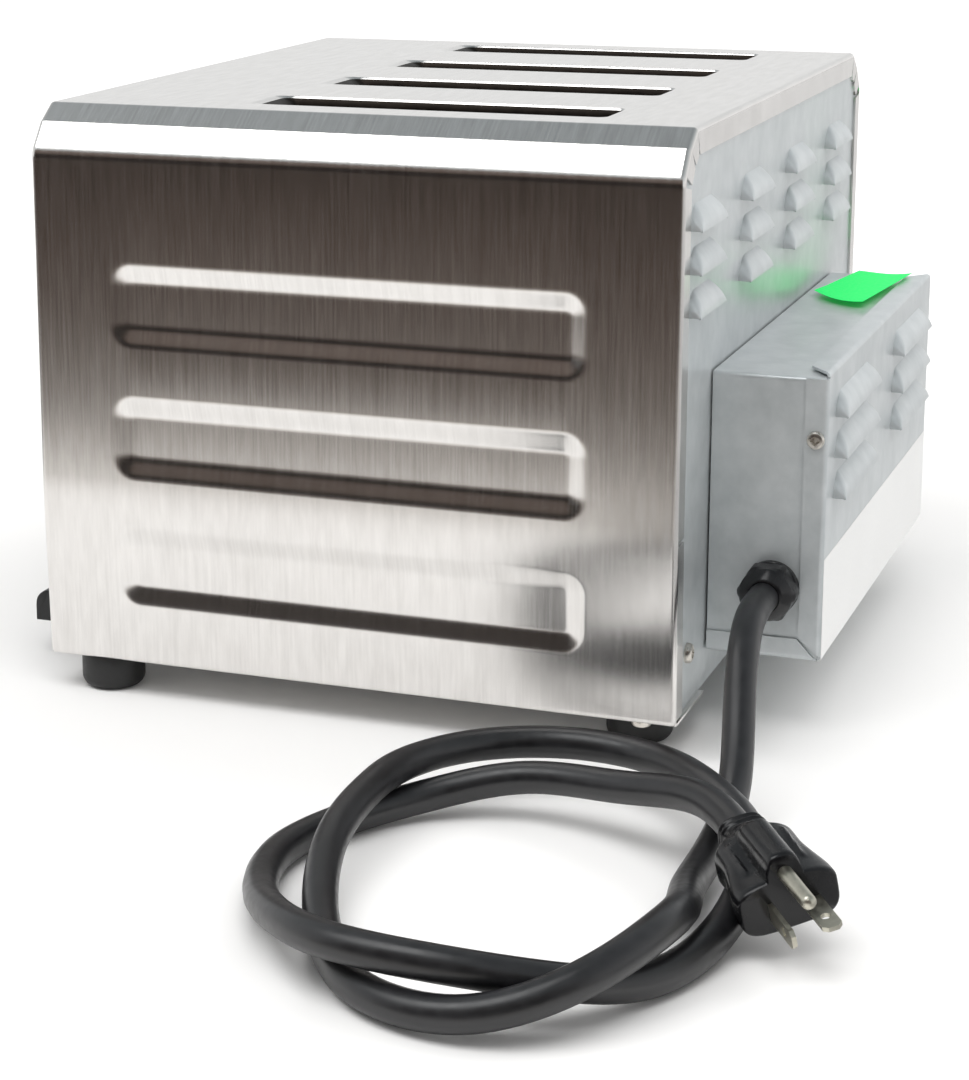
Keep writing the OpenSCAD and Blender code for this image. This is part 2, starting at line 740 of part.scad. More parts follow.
// A bulkhead's plate from y = 0 back, with a foot and a top flange of the given reach in y
module bulkhead(reach) {
    low = min(0, reach) + (reach > 0 ? sheet_t : 0);
    high = max(0, reach) + (reach > 0 ? sheet_t : 0);
    difference() {
        union() {
            block([-chamber_half, 0, pan_top], [chamber_half, sheet_t, top_in]);
            block([-chamber_half, low - over * (reach > 0 ? 1 : 0), pan_top],
                [chamber_half, high + over * (reach < 0 ? 1 : 0), pan_top + sheet_t]);
            block([-chamber_half, low - over * (reach > 0 ? 1 : 0), top_in - sheet_t],
                [chamber_half, high + over * (reach < 0 ? 1 : 0), top_in]);
        }
        children();
    }
}

module front_bulkhead() {
    color("silver") placed() translate([0, bulkhead_face, 0]) bulkhead(-bulkhead_flange) {
        block([-tunnel_half, -far, 0], [tunnel_half, far, pan_top + tray_tunnel_h]);
        for (x = slot_xs)
            block([x - spine_t / 2 - pass_gap, -far, carriage_z - travel - pass_gap],
                [x + spine_t / 2 + pass_gap, far, rack_top + pass_gap]);
    }
}

module rear_bulkhead() {
    color("silver") placed() translate([0, chamber_rear, 0]) bulkhead(bulkhead_flange);
}

module side_shields() {
    shield_gap = 4;
    color("silver") placed() both_sides()
        block([chamber_half - sheet_t - pass_gap, chamber_front, pan_top + shield_gap],
            [chamber_half - pass_gap, chamber_rear, top_in - shield_gap]);
}

module mechanism_shelf() {
    front = pass_gap + sheet_t - panel_in;
    back = bulkhead_face - bulkhead_flange - pass_gap;
    foot_w = 9;
    color("silver") placed() {
        block([-chamber_half, front, shelf_top - sheet_t], [chamber_half, bulkhead_face, shelf_top]);
        both_sides() {
            block([chamber_half - sheet_t, front, pan_top], [chamber_half, back, shelf_top - sheet_t / 2]);
            block([chamber_half - foot_w, front, pan_top], [chamber_half, back, pan_top + sheet_t]);
        }
    }
}

// Heaters and guards, one on each side of every slot
module each_slot_side() {
    for (x = slot_xs) translate([x, 0, 0]) both_sides() children();
}

card_top = top_z - card_drop;
card_low = card_top - card_h;

module heater_cards() {
    color("wheat") placed() each_slot_side()
        block([card_offset - card_t / 2, chamber_front, card_low],
            [card_offset + card_t / 2, chamber_rear, card_top]);
}

module heater_ribbons() {
    face = card_offset - card_t / 2;
    color("dimgray") placed() each_slot_side() along_x(face - ribbon_t, face)
        polygon(ribbon_outline(chamber_front + ribbon_border, card_low + ribbon_border,
            chamber_rear - ribbon_border, card_top - ribbon_border));
}

module bread_guards() {
    high = top_z - guard_drop;
    low = high - guard_h;
    step = (chamber_rear - chamber_front) / guard_wires;
    color("silver") placed() each_slot_side() translate([guard_offset, 0, 0]) {
        for (z = [low, high]) translate([0, chamber_front, z]) rotate([-90, 0, 0])
            cylinder(h = chamber_rear - chamber_front, d = guard_rail_d);
        for (i = [0:guard_wires - 1]) translate([0, chamber_front + (i + 0.5) * step, low])
            cylinder(h = guard_h, d = guard_wire_d);
    }
}

// Lift

module guide_rods() {
    color("silver") placed() both_sides() translate([lever_x, rod_y, shelf_top])
        cylinder(h = rod_top - shelf_top, d = rod_d);
}

module rod_brackets() {
    half = 14;
    plate_t = 2;
    lug = 12;
    drop = 6;
    color("darkgray") placed() both_sides() difference() {
        union() {
            block([lever_x - half, rod_y - lug, rod_top - drop],
                [lever_x + half, bulkhead_face, rod_top - drop + plate_t]);
            block([lever_x - half, bulkhead_face - plate_t, rod_top - drop - half],
                [lever_x + half, bulkhead_face, rod_top - drop + plate_t]);
        }
        translate([lever_x, rod_y, rod_top]) cylinder(h = far, d = rod_d + 2 * fit_gap, center = true);
    }
}

module carriage() {
    web_t = 6;
    color("darkgray") placed() difference() {
        union() {
            block([lever_x - carriage_half, carriage_rear - carriage_t, carriage_z],
                [lever_x + carriage_half, carriage_rear, carriage_z + carriage_h]);
            block([lever_x - web_t / 2, rod_y, carriage_z],
                [lever_x + web_t / 2, carriage_rear - carriage_t / 2, carriage_z + carriage_h]);
            translate([lever_x, rod_y, carriage_z]) cylinder(h = carriage_h, d = bush_d);
            block([lever_x - arm_t / 2, arm_end, arm_z], [lever_x + arm_t / 2, rod_y, arm_z + arm_h]);
        }
        translate([lever_x, rod_y, carriage_z]) cylinder(h = far, d = rod_d + 2 * fit_gap, center = true);
    }
}

module bread_racks() {
    end = chamber_rear - pass_gap;
    first = chamber_front + 10;
    step = (end - first - finger_t) / (fingers - 1);
    color("silver") placed() for (x = [lever_x - slot_pitch / 2, lever_x + slot_pitch / 2]) {
        block([x - spine_t / 2, carriage_rear, carriage_z], [x + spine_t / 2, end, rack_top]);
        for (i = [0:fingers - 1])
            block([x - finger_l / 2, first + i * step, rack_top - finger_t],
                [x + finger_l / 2, first + i * step + finger_t, rack_top]);
    }
}

module lever_knob() {
    edge_r = 5;
    corner_r = 9;
    front = -body_d / 2 - knob_stand - knob_l;
    color("#202020") placed() translate([lever_x, 0, arm_z + arm_h / 2]) difference() {
        intersection() {
            along_y(front, front + knob_l) polygon(rounded(knob_w, knob_h, edge_r));
            translate([0, front + knob_l / 2, 0]) linear_extrude(far, center = true)
                polygon(rounded(knob_w, knob_l, corner_r));
        }
        block([-arm_t / 2 - fit_gap, arm_end - fit_gap, -arm_h / 2 - fit_gap],
            [arm_t / 2 + fit_gap, 0, arm_h / 2 + fit_gap]);
    }
}

module lift_spring() {
    rings = 8 * spring_turns;
    sides = 6;
    low = shelf_top + spring_gap + spring_wire / 2;
    rise = carriage_z - shelf_top - 2 * spring_gap - spring_wire;
    path = [for (i = [0:rings]) [spring_d / 2 * cos(360 * i / 8), spring_d / 2 * sin(360 * i / 8),
        low + rise * i / rings]];
    echo(str("least gap of a spring to itself: ", rise / spring_turns - spring_wire));
    color("silver") placed() translate([lever_x, rod_y, 0])
        tube(path, spring_wire, sides, path[1] - path[0], path[rings] - path[rings - 1]);
}

module latch_magnets() {
    core_w = 10;
    color("sienna") placed() both_sides() {
        block([lever_x - magnet_w / 2, magnet_y - magnet_d / 2, shelf_top],
            [lever_x + magnet_w / 2, magnet_y + magnet_d / 2, magnet_top - spine_t]);
        block([lever_x - core_w / 2, magnet_y - core_w / 2, shelf_top],
            [lever_x + core_w / 2, magnet_y + core_w / 2, magnet_top]);
    }
}

module armature() {
    color("gray") placed() {
        block([lever_x - magnet_w / 2, magnet_y - magnet_d / 2, armature_z],
            [lever_x + magnet_w / 2, magnet_y + magnet_d / 2, armature_z + armature_t]);
        translate([lever_x, magnet_y, armature_z + armature_t / 2])
            cylinder(h = arm_z - armature_z - armature_t / 2, d = armature_stem_d);
    }
}

module right_carriage() { carriage(); }
module left_carriage() { mirror([1, 0, 0]) carriage(); }
module right_bread_racks() { bread_racks(); }
module left_bread_racks() { mirror([1, 0, 0]) bread_racks(); }
module right_lever_knob() { lever_knob(); }
module left_lever_knob() { mirror([1, 0, 0]) lever_knob(); }
module right_lift_spring() { lift_spring(); }
module left_lift_spring() { translate([-2 * lever_x, 0, 0]) lift_spring(); }
module right_armature() { armature(); }
module left_armature() { mirror([1, 0, 0]) armature(); }

// Controls

board_low = wrap_z + board_rise;
standoff_in = 4;
relay_w = 22;
relay_d = 12;
relay_h = 16;
chip_w = 30;
chip_d = 3;
chip_h = 12;

module control_board() {
    color("darkgreen") placed() {
        block([-board_w / 2, board_y, board_low], [board_w / 2, board_y + board_t, board_low + board_h]);
        both_sides() translate([board_w / 4 - relay_w / 2, board_y + board_t / 2, board_low + board_h * 0.6])
            cube([relay_w, relay_d, relay_h]);
        translate([-chip_w / 2, board_y + board_t / 2, board_low + board_h * 0.3])
            cube([chip_w, chip_d, chip_h]);
    }
}

module board_standoffs() {
    post_d = 6;
    color("gold") placed() both_sides()
        for (z = [board_low + standoff_in, board_low + board_h - standoff_in])
            translate([board_w / 2 - standoff_in, -panel_in, z]) rotate([-90, 0, 0])
                cylinder(h = board_stand, d = post_d, $fn = 6);
}

dial_back = -panel_out - 2 * pass_gap;
shaft_end = dial_back - dial_l * 0.6;

module browning_pots() {
    color("slategray") placed() both_sides() {
        block([dial_x - pot_w / 2, pass_gap - panel_in, wrap_z + dial_rise - pot_w / 2],
            [dial_x + pot_w / 2, board_y, wrap_z + dial_rise + pot_w / 2]);
        translate([dial_x, shaft_end, wrap_z + dial_rise]) rotate([-90, 0, 0])
            cylinder(h = board_y - shaft_end - board_stand / 2, d = shaft_d);
    }
}

// A round knob with a skirt, a fluted grip and a blind bore, its axis along -Y
module browning_knob() {
    skirt_t = 4;
    grip_d = dial_d * 0.78;
    flutes = 16;
    flute_d = 3;
    color("#202020") placed() translate([dial_x, dial_back, wrap_z + dial_rise]) rotate([90, 0, 0])
    difference() {
        rotate_extrude() polygon([[0, 0], [dial_d / 2, 0], [dial_d / 2 - 1, skirt_t],
            [grip_d / 2, skirt_t], [grip_d / 2, dial_l], [0, dial_l]]);
        for (i = [0:flutes - 1]) rotate(360 * (i + 0.5) / flutes)
            translate([grip_d / 2 + flute_d * 0.2, 0, skirt_t + over]) cylinder(h = dial_l, d = flute_d);
        translate([0, 0, -over])
            cylinder(h = dial_back - shaft_end + fit_gap + over, d = shaft_d + 2 * fit_gap);
    }
}

module right_browning_knob() { browning_knob(); }
module left_browning_knob() { translate([-2 * dial_x, 0, 0]) browning_knob(); }

// Crumb tray

module crumb_tray() {
    end = chamber_rear - pass_gap;
    half = tray_w / 2;
    color("silver") placed() difference() {
        block([-half, pull_y, tray_z], [half, end, tray_z + tray_h]);
        block([sheet_t - half, tray_front, tray_z + sheet_t], [half - sheet_t, end - sheet_t, tray_z + far]);
    }
}

module tray_pull() {
    front = pull_y - pull_l;
    grip_t = 3;
    finger_w = 90;
    color("#202020") placed() difference() {
        along_x(-pull_w / 2, pull_w / 2) polygon(concat([[front, wrap_z], [pull_y, wrap_z],
            [pull_y, wrap_z + pull_h]],
            arc([front + pull_round, wrap_z + pull_h - pull_round], pull_round, 90, 180)));
        block([-finger_w / 2, front + grip_t, wrap_z - over],
            [finger_w / 2, pull_y - grip_t, wrap_z + pull_h - grip_t]);
    }
}

// Electrical box

// Right half of the box body's outline, inside the cover's flanges
box_side = [[box_half - sheet_t, box_z + sheet_t], [box_half - sheet_t, box_top - sheet_t]];

module box_body() {
    color("silver") placed() difference() {
        union() {
            along_y(panel_out, cover_y - sheet_t) polygon(strip(both_halves(box_side), sheet_t));
            along_y(panel_out, panel_out + sheet_t) polygon(strip(both_halves(box_side), box_flange_w));
        }
        at_cover_screws() screw_hole(cover_screw_d);
        translate([box_half, gland_y - shift_y, gland_z]) rotate([0, 90, 0]) screw_hole(gland_thread_d);
    }
}

module box_cover() {
    color("silver") placed() difference() {
        union() {
            block([-box_half, cover_y - sheet_t, box_z], [box_half, cover_y, box_top]);
            block([-box_half, panel_out, box_z], [box_half, cover_y, box_z + sheet_t]);
            block([sheet_t - box_half, cover_y - cover_top_flange, box_top - sheet_t],
                [box_half - sheet_t, cover_y, box_top]);
            both_sides() {
                block([box_half - sheet_t, cover_y - cover_side_flange, box_z],
                    [box_half, cover_y, box_top - 2 * sheet_t]);
                block([box_half - sheet_t, panel_out, box_z], [box_half, cover_y, box_z + cover_low_flange]);
            }
            at_cover_louvres() hood(box_louvre_l, 0);
        }
        at_cover_louvres() hood(box_louvre_l, sheet_t);
        at_cover_screws() screw_hole(cover_screw_d);
    }
}

module terminal_block() {
    ways = 3;
    way_w = 12;
    wall = 2;
    base_h = 10;
    wall_h = 18;
    tall = 20;
    color("ivory") placed() translate([box_half / 2, panel_out, box_z + box_h / 2]) {
        cube([ways * way_w + wall, base_h, tall]);
        for (i = [0:ways]) translate([i * way_w, 0, 0]) cube([wall, wall_h, tall]);
        for (i = [0:ways - 1]) translate([i * way_w + (way_w + wall) / 2, base_h, tall / 2])
            rotate([-90, 0, 0]) cylinder(h = wall, d = way_w / 2);
    }
}

power_board_w = 100;
power_board_h = 60;
power_board_x = -45;
transformer_w = 36;
transformer_d = 20;
transformer_h = 30;
power_relay_w = 24;
power_relay_d = 14;
power_relay_h = 18;
spacer_h = 7;
spacer_in = 5;

// Puts its child at the power board's middle on the rear panel's outer face
module at_power_board() {
    translate([power_board_x, panel_out, box_z + box_h * 0.55]) children();
}

module power_board() {
    w = power_board_w;
    h = power_board_h;
    color("darkgreen") placed() at_power_board() translate([0, spacer_h, 0]) {
        block([-w / 2, 0, -h / 2], [w / 2, board_t, h / 2]);
        translate([spacer_in * 2 - w / 2, board_t / 2, -transformer_h / 2])
            cube([transformer_w, transformer_d, transformer_h]);
        translate([spacer_in, board_t / 2, -power_relay_h / 2])
            cube([power_relay_w, power_relay_d, power_relay_h]);
    }
}

module board_spacers() {
    post_d = 6;
    color("ivory") placed() at_power_board() for (x = [-1, 1]) for (z = [-1, 1])
        translate([x * (power_board_w / 2 - spacer_in), 0, z * (power_board_h / 2 - spacer_in)])
            rotate([-90, 0, 0]) cylinder(h = spacer_h, d = post_d);
}

// Cord and plug, along +X from the box's side

module at_gland() {
    translate([box_half - sheet_t, gland_y, gland_z]) rotate([0, 90, 0]) children();
}

module cord_gland() {
    nut_rise = gland_base_t + 1;
    mouth_d = cord_d + 3;
    crown = gland_out * 0.35;
    color("#181818") at_gland() {
        translate([0, 0, -gland_thread_l]) cylinder(h = gland_thread_l + over, d = gland_thread_d);
        cylinder(h = gland_base_t, d = gland_base_d);
        translate([0, 0, gland_base_t / 2]) cylinder(h = nut_rise, d = gland_thread_d);
        intersection() {
            translate([0, 0, nut_rise]) cylinder(h = gland_out, d = gland_nut_w / cos(30), $fn = 6);
            rotate_extrude() polygon([[0, nut_rise], [gland_nut_w / 2, nut_rise],
                [gland_nut_w * 0.56, nut_rise + 1],
                [gland_nut_w * 0.56, gland_out - crown], [gland_nut_w * 0.48, gland_out - crown / 2],
                [mouth_d / 2, gland_out], [0, gland_out]]);
        }
    }
}

module gland_locknut() {
    nut_d = gland_thread_d + 10;
    color("#181818") at_gland() translate([0, 0, -sheet_t - locknut_t]) difference() {
        cylinder(h = locknut_t, d = nut_d, $fn = 6);
        cylinder(h = far, d = gland_thread_d + 2 * fit_gap, center = true);
    }
}

module power_cord() {
    first = cord_route[1] - cord_route[0];
    measured = smooth(cord_route, measure_steps);
    echo(str("least gap of the lead to itself: ", least_gap(measured, 2 * measure_steps) - cord_d));
    color("#303030") tube(smooth(cord_route, cord_steps), cord_d, cord_sides, first, plug_dir);
}

// Puts its children at the plug's neck, with the plug's face towards +X
module at_plug() {
    translate(cord_route[cord_last]) rotate([0, 0, plug_turn]) rotate([0, plug_tilt, 0])
        rotate([plug_roll, 0, 0]) children();
}

// A slice of the plug's body: flat below, rounded above
module plug_slice(x, t, w, low, high) {
    round_r = 5;
    crown_r = high * 0.85;
    translate([x, 0, 0]) along_x(0, t) hull() {
        for (y = [round_r - w / 2, w / 2 - round_r]) translate([y, round_r - low]) circle(round_r, $fn = 32);
        translate([0, high - crown_r]) circle(crown_r, $fn = 32);
    }
}

module plug_body() {
    neck_r = cord_d / 2 + 1;
    root_r = cord_d / 2 + 3;
    groove = 1.2;
    slice_t = 4;
    root_low = 9;
    root_high = 10;
    waist_low = 10;
    waist_high = 12;
    face_low = 11;
    face_high = 14;
    color("#181818") at_plug() {
        rotate([0, 90, 0]) rotate_extrude() polygon(concat([[0, 0], [neck_r, 0]],
            [for (i = [1:2]) let (r = neck_r + i / 2, x = neck_l * i / 4)
                each [[r, x], [r - groove, x], [r - groove, x + groove], [r, x + groove]]],
            [[root_r, neck_l], [root_r, neck_l + slice_t], [0, neck_l + slice_t]]));
        hull() {
            plug_slice(neck_l, slice_t / 2, plug_w * 0.62, root_low, root_high);
            plug_slice(plug_l - 3 * slice_t, slice_t / 2, plug_w * 0.84, waist_low, waist_high);
        }
        hull() {
            plug_slice(plug_l - 3 * slice_t, slice_t / 2, plug_w * 0.84, waist_low, waist_high);
            plug_slice(plug_l - slice_t, slice_t, plug_w, face_low, face_high);
        }
    }
}

module plug_blades() {
    tip = 1.5;
    hole_d = 3.2;
    blade = [[0, -blade_w / 2], [blade_l - tip, -blade_w / 2], [blade_l, tip - blade_w / 2],
        [blade_l, blade_w / 2 - tip], [blade_l - tip, blade_w / 2], [0, blade_w / 2]];
    color("goldenrod") at_plug() for (side = [-1, 1])
        translate([plug_l, side * blade_pitch / 2, -blade_drop]) rotate([side < 0 ? 90 : 0, 0, 0])
            linear_extrude(blade_t, center = true) difference() {
                polygon(blade);
                translate([blade_l - 2 * hole_d, 0]) circle(d = hole_d);
            }
}

module plug_ground_pin() {
    color("goldenrod") at_plug() translate([plug_l, 0, ground_rise]) rotate([0, 90, 0])
        rotate_extrude() polygon(concat([[0, 0], [ground_d / 2, 0]],
            arc([0, ground_l - ground_d / 2], ground_d / 2, 0, 90)));
}

// Feet and fasteners

module feet() {
    color("#202020") placed() four_feet() rotate_extrude() polygon(concat(
        [[foot_screw_d / 2 + fit_gap, foot_recess], [foot_head_d / 2 + pass_gap, foot_recess],
            [foot_head_d / 2 + pass_gap, 0]],
        arc([foot_d / 2 - foot_round, foot_round], foot_round, -90, 0),
        [[foot_d / 2, foot_h], [foot_screw_d / 2 + fit_gap, foot_h]]));
}

module foot_screws() {
    tip = 3;
    color("silver") placed() four_feet() translate([0, 0, foot_recess])
        pan_screw(foot_screw_d, foot_head_d, foot_head_h, pan_top + tip - foot_recess);
}

module bottom_screws() {
    color("silver") placed() at_bottom_screws() pan_screw(screw_d, screw_head_d, screw_head_h, screw_l);
}

module panel_screws() {
    color("silver") placed() at_panel_screws() pan_screw(screw_d, screw_head_d, screw_head_h, screw_l);
}

module cover_screws() {
    color("silver") placed() at_cover_screws() pan_screw(cover_screw_d, cover_head_d, cover_head_h, screw_l);
}

outer_wrap();
front_panel();
rear_panel();
base_pan();
front_bulkhead();
rear_bulkhead();
side_shields();
mechanism_shelf();
heater_cards();
heater_ribbons();
bread_guards();
guide_rods();
rod_brackets();
right_carriage();
left_carriage();
right_bread_racks();
left_bread_racks();
right_lever_knob();
left_lever_knob();
right_lift_spring();
left_lift_spring();
right_armature();
left_armature();
latch_magnets();
control_board();
board_standoffs();
browning_pots();
right_browning_knob();
left_browning_knob();
crumb_tray();
tray_pull();
box_body();
box_cover();
terminal_block();
power_board();
board_spacers();
cord_gland();
gland_locknut();
power_cord();
plug_body();
plug_blades();
plug_ground_pin();
feet();
foot_screws();
bottom_screws();
panel_screws();
cover_screws();
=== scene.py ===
import math

import bmesh
import bpy
import numpy as np
from mathutils import Matrix, Vector


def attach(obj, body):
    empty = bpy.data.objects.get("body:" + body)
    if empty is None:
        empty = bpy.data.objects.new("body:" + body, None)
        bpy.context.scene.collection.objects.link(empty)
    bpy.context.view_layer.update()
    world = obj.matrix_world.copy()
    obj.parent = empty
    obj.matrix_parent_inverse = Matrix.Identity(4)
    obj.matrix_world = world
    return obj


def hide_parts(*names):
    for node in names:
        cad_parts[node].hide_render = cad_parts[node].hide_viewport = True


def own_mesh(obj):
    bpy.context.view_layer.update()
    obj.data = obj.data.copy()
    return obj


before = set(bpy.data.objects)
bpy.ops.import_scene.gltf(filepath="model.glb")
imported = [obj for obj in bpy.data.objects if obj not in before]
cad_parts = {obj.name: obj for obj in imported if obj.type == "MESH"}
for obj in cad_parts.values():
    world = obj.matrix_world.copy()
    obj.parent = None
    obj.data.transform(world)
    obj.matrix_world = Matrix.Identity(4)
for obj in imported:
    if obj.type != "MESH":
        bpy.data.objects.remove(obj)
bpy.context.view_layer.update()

# Lengths are in millimetres from the middle of the body, and to_frame() carries them to the frame
MM = 0.001
BODY_SHIFT = np.array([0.0, -10.0, 0.0])
FULL_TURN = 2 * math.pi
# Grid lines closer than this are one line, and are rounded to so many places
SAME_LINE, LINE_PLACES = 1e-4, 4
# An axis with more of Z than this counts as upright
UPRIGHT = 0.9
BEVEL_STEPS, BEVEL_ANGLE = 3, 35.0
scene = bpy.context.scene


def to_frame(points):
    """Body millimetres as frame metres: moved by the body's shift, then scaled."""
    return (np.asarray(points, float) + BODY_SHIFT) * MM


# Mesh helpers

def spaced(*spans):
    """Sorted grid lines: each span (start, end, count) is an even row, and equal values are joined."""
    values = np.sort(np.concatenate([np.linspace(*span) for span in spans]))
    return values[np.r_[True, np.diff(values) > SAME_LINE]]


def distinct(values):
    """Sorted values, rounded so that equal ones are joined."""
    return np.unique(np.round(values, LINE_PLACES))


def pairs(a, b):
    """Rows (a, b), where either may be one number."""
    return np.stack(np.broadcast_arrays(a, b), axis=-1)


def raised(spots, z):
    """Rows (x, y, z) over the rows (x, y) of spots."""
    return np.c_[spots, np.full(len(spots), z)]


def carried(line, ys):
    """A line of (x, z) points carried along Y to each place of ys."""
    return np.stack(np.broadcast_arrays(line[:, None, 0], ys[None, :], line[:, None, 1]), axis=-1)


def cells_of(rows, cols, keep=None):
    """Corner numbers of the cells of a grid of rows by cols points, only those where keep is true."""
    number = np.arange(rows * cols).reshape(rows, cols)
    cells = np.stack([number[:-1, :-1], number[1:, :-1], number[1:, 1:], number[:-1, 1:]], axis=-1)
    return cells.reshape(-1, 4) if keep is None else cells[keep]


def patch(points, out, keep=None):
    """One sheet of a piece: a grid of points and its cells, turned over together if they look against out.
    out is a direction, or a function that gives a direction for each cell's middle."""
    points = np.asarray(points, float)
    rows, cols = points.shape[:2]
    flat = points.reshape(-1, 3)
    cells = cells_of(rows, cols, keep)
    corners = flat[cells]
    normal = np.cross(corners[:, 2] - corners[:, 0], corners[:, 3] - corners[:, 1])
    aim = out(corners.mean(axis=1)) if callable(out) else np.asarray(out, float)
    if np.sum(normal * aim) < 0:
        cells = cells[:, ::-1]
    return flat, cells


def cap(ring, middle, out):
    """The end of a tube: a fan from its ring to the ring's middle."""
    return patch(np.stack(np.broadcast_arrays(ring, middle)), out)


def weld(mesh, distance=2e-6):
    """Joins points of a mesh that lie this many metres from each other, so that its seams and poles close."""
    work = bmesh.new()
    work.from_mesh(mesh)
    bmesh.ops.remove_doubles(work, verts=work.verts, dist=distance)
    loose = [v for v in work.verts if not v.link_faces]
    bmesh.ops.delete(work, geom=loose, context="VERTS")
    work.to_mesh(mesh)
    work.free()


def piece(name, patches, *look, **more):
    """A finished piece from its patches: joined, welded and settled."""
    starts = np.cumsum([0] + [len(points) for points, cells in patches])
    points = np.concatenate([points for points, cells in patches])
    cells = np.concatenate([cells + start for (_, cells), start in zip(patches, starts)])
    mesh = bpy.data.meshes.new(name)
    mesh.from_pydata(to_frame(points).tolist(), [], cells.tolist())
    weld(mesh)
    return settle(bpy.data.objects.new(name, mesh), *look, **more)


def sharpen_rims(mesh):
    """Marks the open edges of a sheet sharp, so that its wall's rim doesn't bend the shading of its faces."""
    edges = np.zeros(len(mesh.loops), np.int32)
    mesh.loops.foreach_get("edge_index", edges)
    sharp = np.zeros(len(mesh.edges), bool)
    mesh.edges.foreach_get("use_edge_sharp", sharp)
    mesh.edges.foreach_set("use_edge_sharp", sharp | (np.bincount(edges, minlength=len(sharp)) == 1))


def settle(thing, finish, slot, nodes=(), body="chassis", wall=0.0, crease=32.0, bevel=0.0):
    """Links an object and gives it its finish. It is shaded smooth up to the crease angle, given a wall of
    that thickness inwards and a bevel, and set on its body in place of the CAD nodes."""
    scene.collection.objects.link(thing)
    thing.data.materials.clear()
    thing.data.materials.append(finish)
    if thing.type == "MESH":
        thing.data.polygons.foreach_set("use_smooth", np.ones(len(thing.data.polygons), bool))
        thing.data.set_sharp_from_angle(angle=math.radians(crease))
    if wall:
        sharpen_rims(thing.data)
        skin = thing.modifiers.new("wall", "SOLIDIFY")
        skin.thickness = wall * MM
        skin.offset = -1
    if bevel:
        edge = thing.modifiers.new("edge", "BEVEL")
        edge.width = bevel * MM
        edge.segments = BEVEL_STEPS
        edge.limit_method = "ANGLE"
        edge.angle_limit = math.radians(BEVEL_ANGLE)
    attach(thing, body)
    if nodes:
        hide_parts(*nodes)
    return thing


def lathe(profile, centre, axis, sides=48, shape=None):
    """A turned sheet: profile rows are (along, radius), spun round axis at centre. shape, where given,
    changes the (along, radius, angle) arrays, for flats and recesses."""
    axis = np.asarray(axis, float) / np.linalg.norm(axis)
    helper = np.array([0.0, 0.0, 1.0]) if abs(axis[2]) < UPRIGHT else np.array([1.0, 0.0, 0.0])
    side = np.cross(helper, axis)
    side = side / np.linalg.norm(side)
    up = np.cross(axis, side)
    angle = np.linspace(0, FULL_TURN, sides + 1)[None, :]
    along = np.asarray(profile, float)[:, :1] + 0 * angle
    radius = np.asarray(profile, float)[:, 1:] + 0 * angle
    if shape:
        along, radius = shape(along, radius, angle + 0 * along)
    ring = np.cos(angle)[..., None] * side + np.sin(angle)[..., None] * up
    points = np.asarray(centre, float) + along[..., None] * axis + radius[..., None] * ring
    points[:, -1] = points[:, 0]
    middle = points.reshape(-1, 3).mean(axis=0)
    return patch(points, lambda mid: mid - middle)


def arc_row(middle, radius, start, end, count):
    """count points (a, b) on an arc about middle, with angles from start to end in degrees."""
    angle = np.radians(np.linspace(start, end, count))
    return np.stack([middle[0] + radius * np.cos(angle), middle[1] + radius * np.sin(angle)], axis=1)


# Finishes

FINE_DETAIL, BROAD_DETAIL, NOISE_ROUGH = 4.0, 3.0, 0.55
# Shares of the fine and the broad noise in the tones, and where a ramp's new stops are before they are placed
FINE_SHARE, BROAD_SHARE, RAMP_MIDDLE = 0.5, 0.5, 0.5
# The band of noise that the roughness spans, and the band of the mixed noise that the tones span
NOISE_BAND, TONE_BAND = (0.3, 0.7), (0.36, 0.64)
BUMP_DEPTH = 0.00005
WHITE = (1, 1, 1, 1)


def feed(tree, node, sockets):
    """Gives each socket of a shader node its value, or links it to a (node, output)."""
    for socket, value in sockets.items():
        if isinstance(value, tuple) and isinstance(value[0], bpy.types.Node):
            tree.links.new(value[0].outputs[value[1]], node.inputs[socket])
        else:
            node.inputs[socket].default_value = value


def add_node(tree, kind, sockets=None, **settings):
    """A new shader node with its settings and what feeds its sockets."""
    made = tree.nodes.new("ShaderNode" + kind)
    for name, value in settings.items():
        setattr(made, name, value)
    feed(tree, made, sockets or {})
    return made


def blank_material(name):
    """A new material and its node tree."""
    material = bpy.data.materials.new(name)
    material.use_nodes = True
    return material, material.node_tree


def noise_field(tree, coords, scale, detail):
    """A noise over Object coordinates, stretched by one scale, or by a scale for each axis."""
    turn = add_node(tree, "Mapping", {"Vector": (coords, "Object"),
                                      "Scale": (scale,) * 3 if np.isscalar(scale) else scale})
    noise = add_node(tree, "TexNoise", {"Vector": (turn, "Vector"), "Scale": 1.0, "Detail": detail,
                                        "Roughness": NOISE_ROUGH})
    return noise, "Fac"


def tone_ramp(tree, source, stops):
    """A colour ramp over a source from 0 to 1."""
    tones = add_node(tree, "ValToRGB", {"Fac": source})
    while len(tones.color_ramp.elements) < len(stops):
        tones.color_ramp.elements.new(RAMP_MIDDLE)
    for element, (position, colour) in zip(tones.color_ramp.elements, stops):
        element.position = position
        element.color = (*colour, 1)
    return tones, "Color"


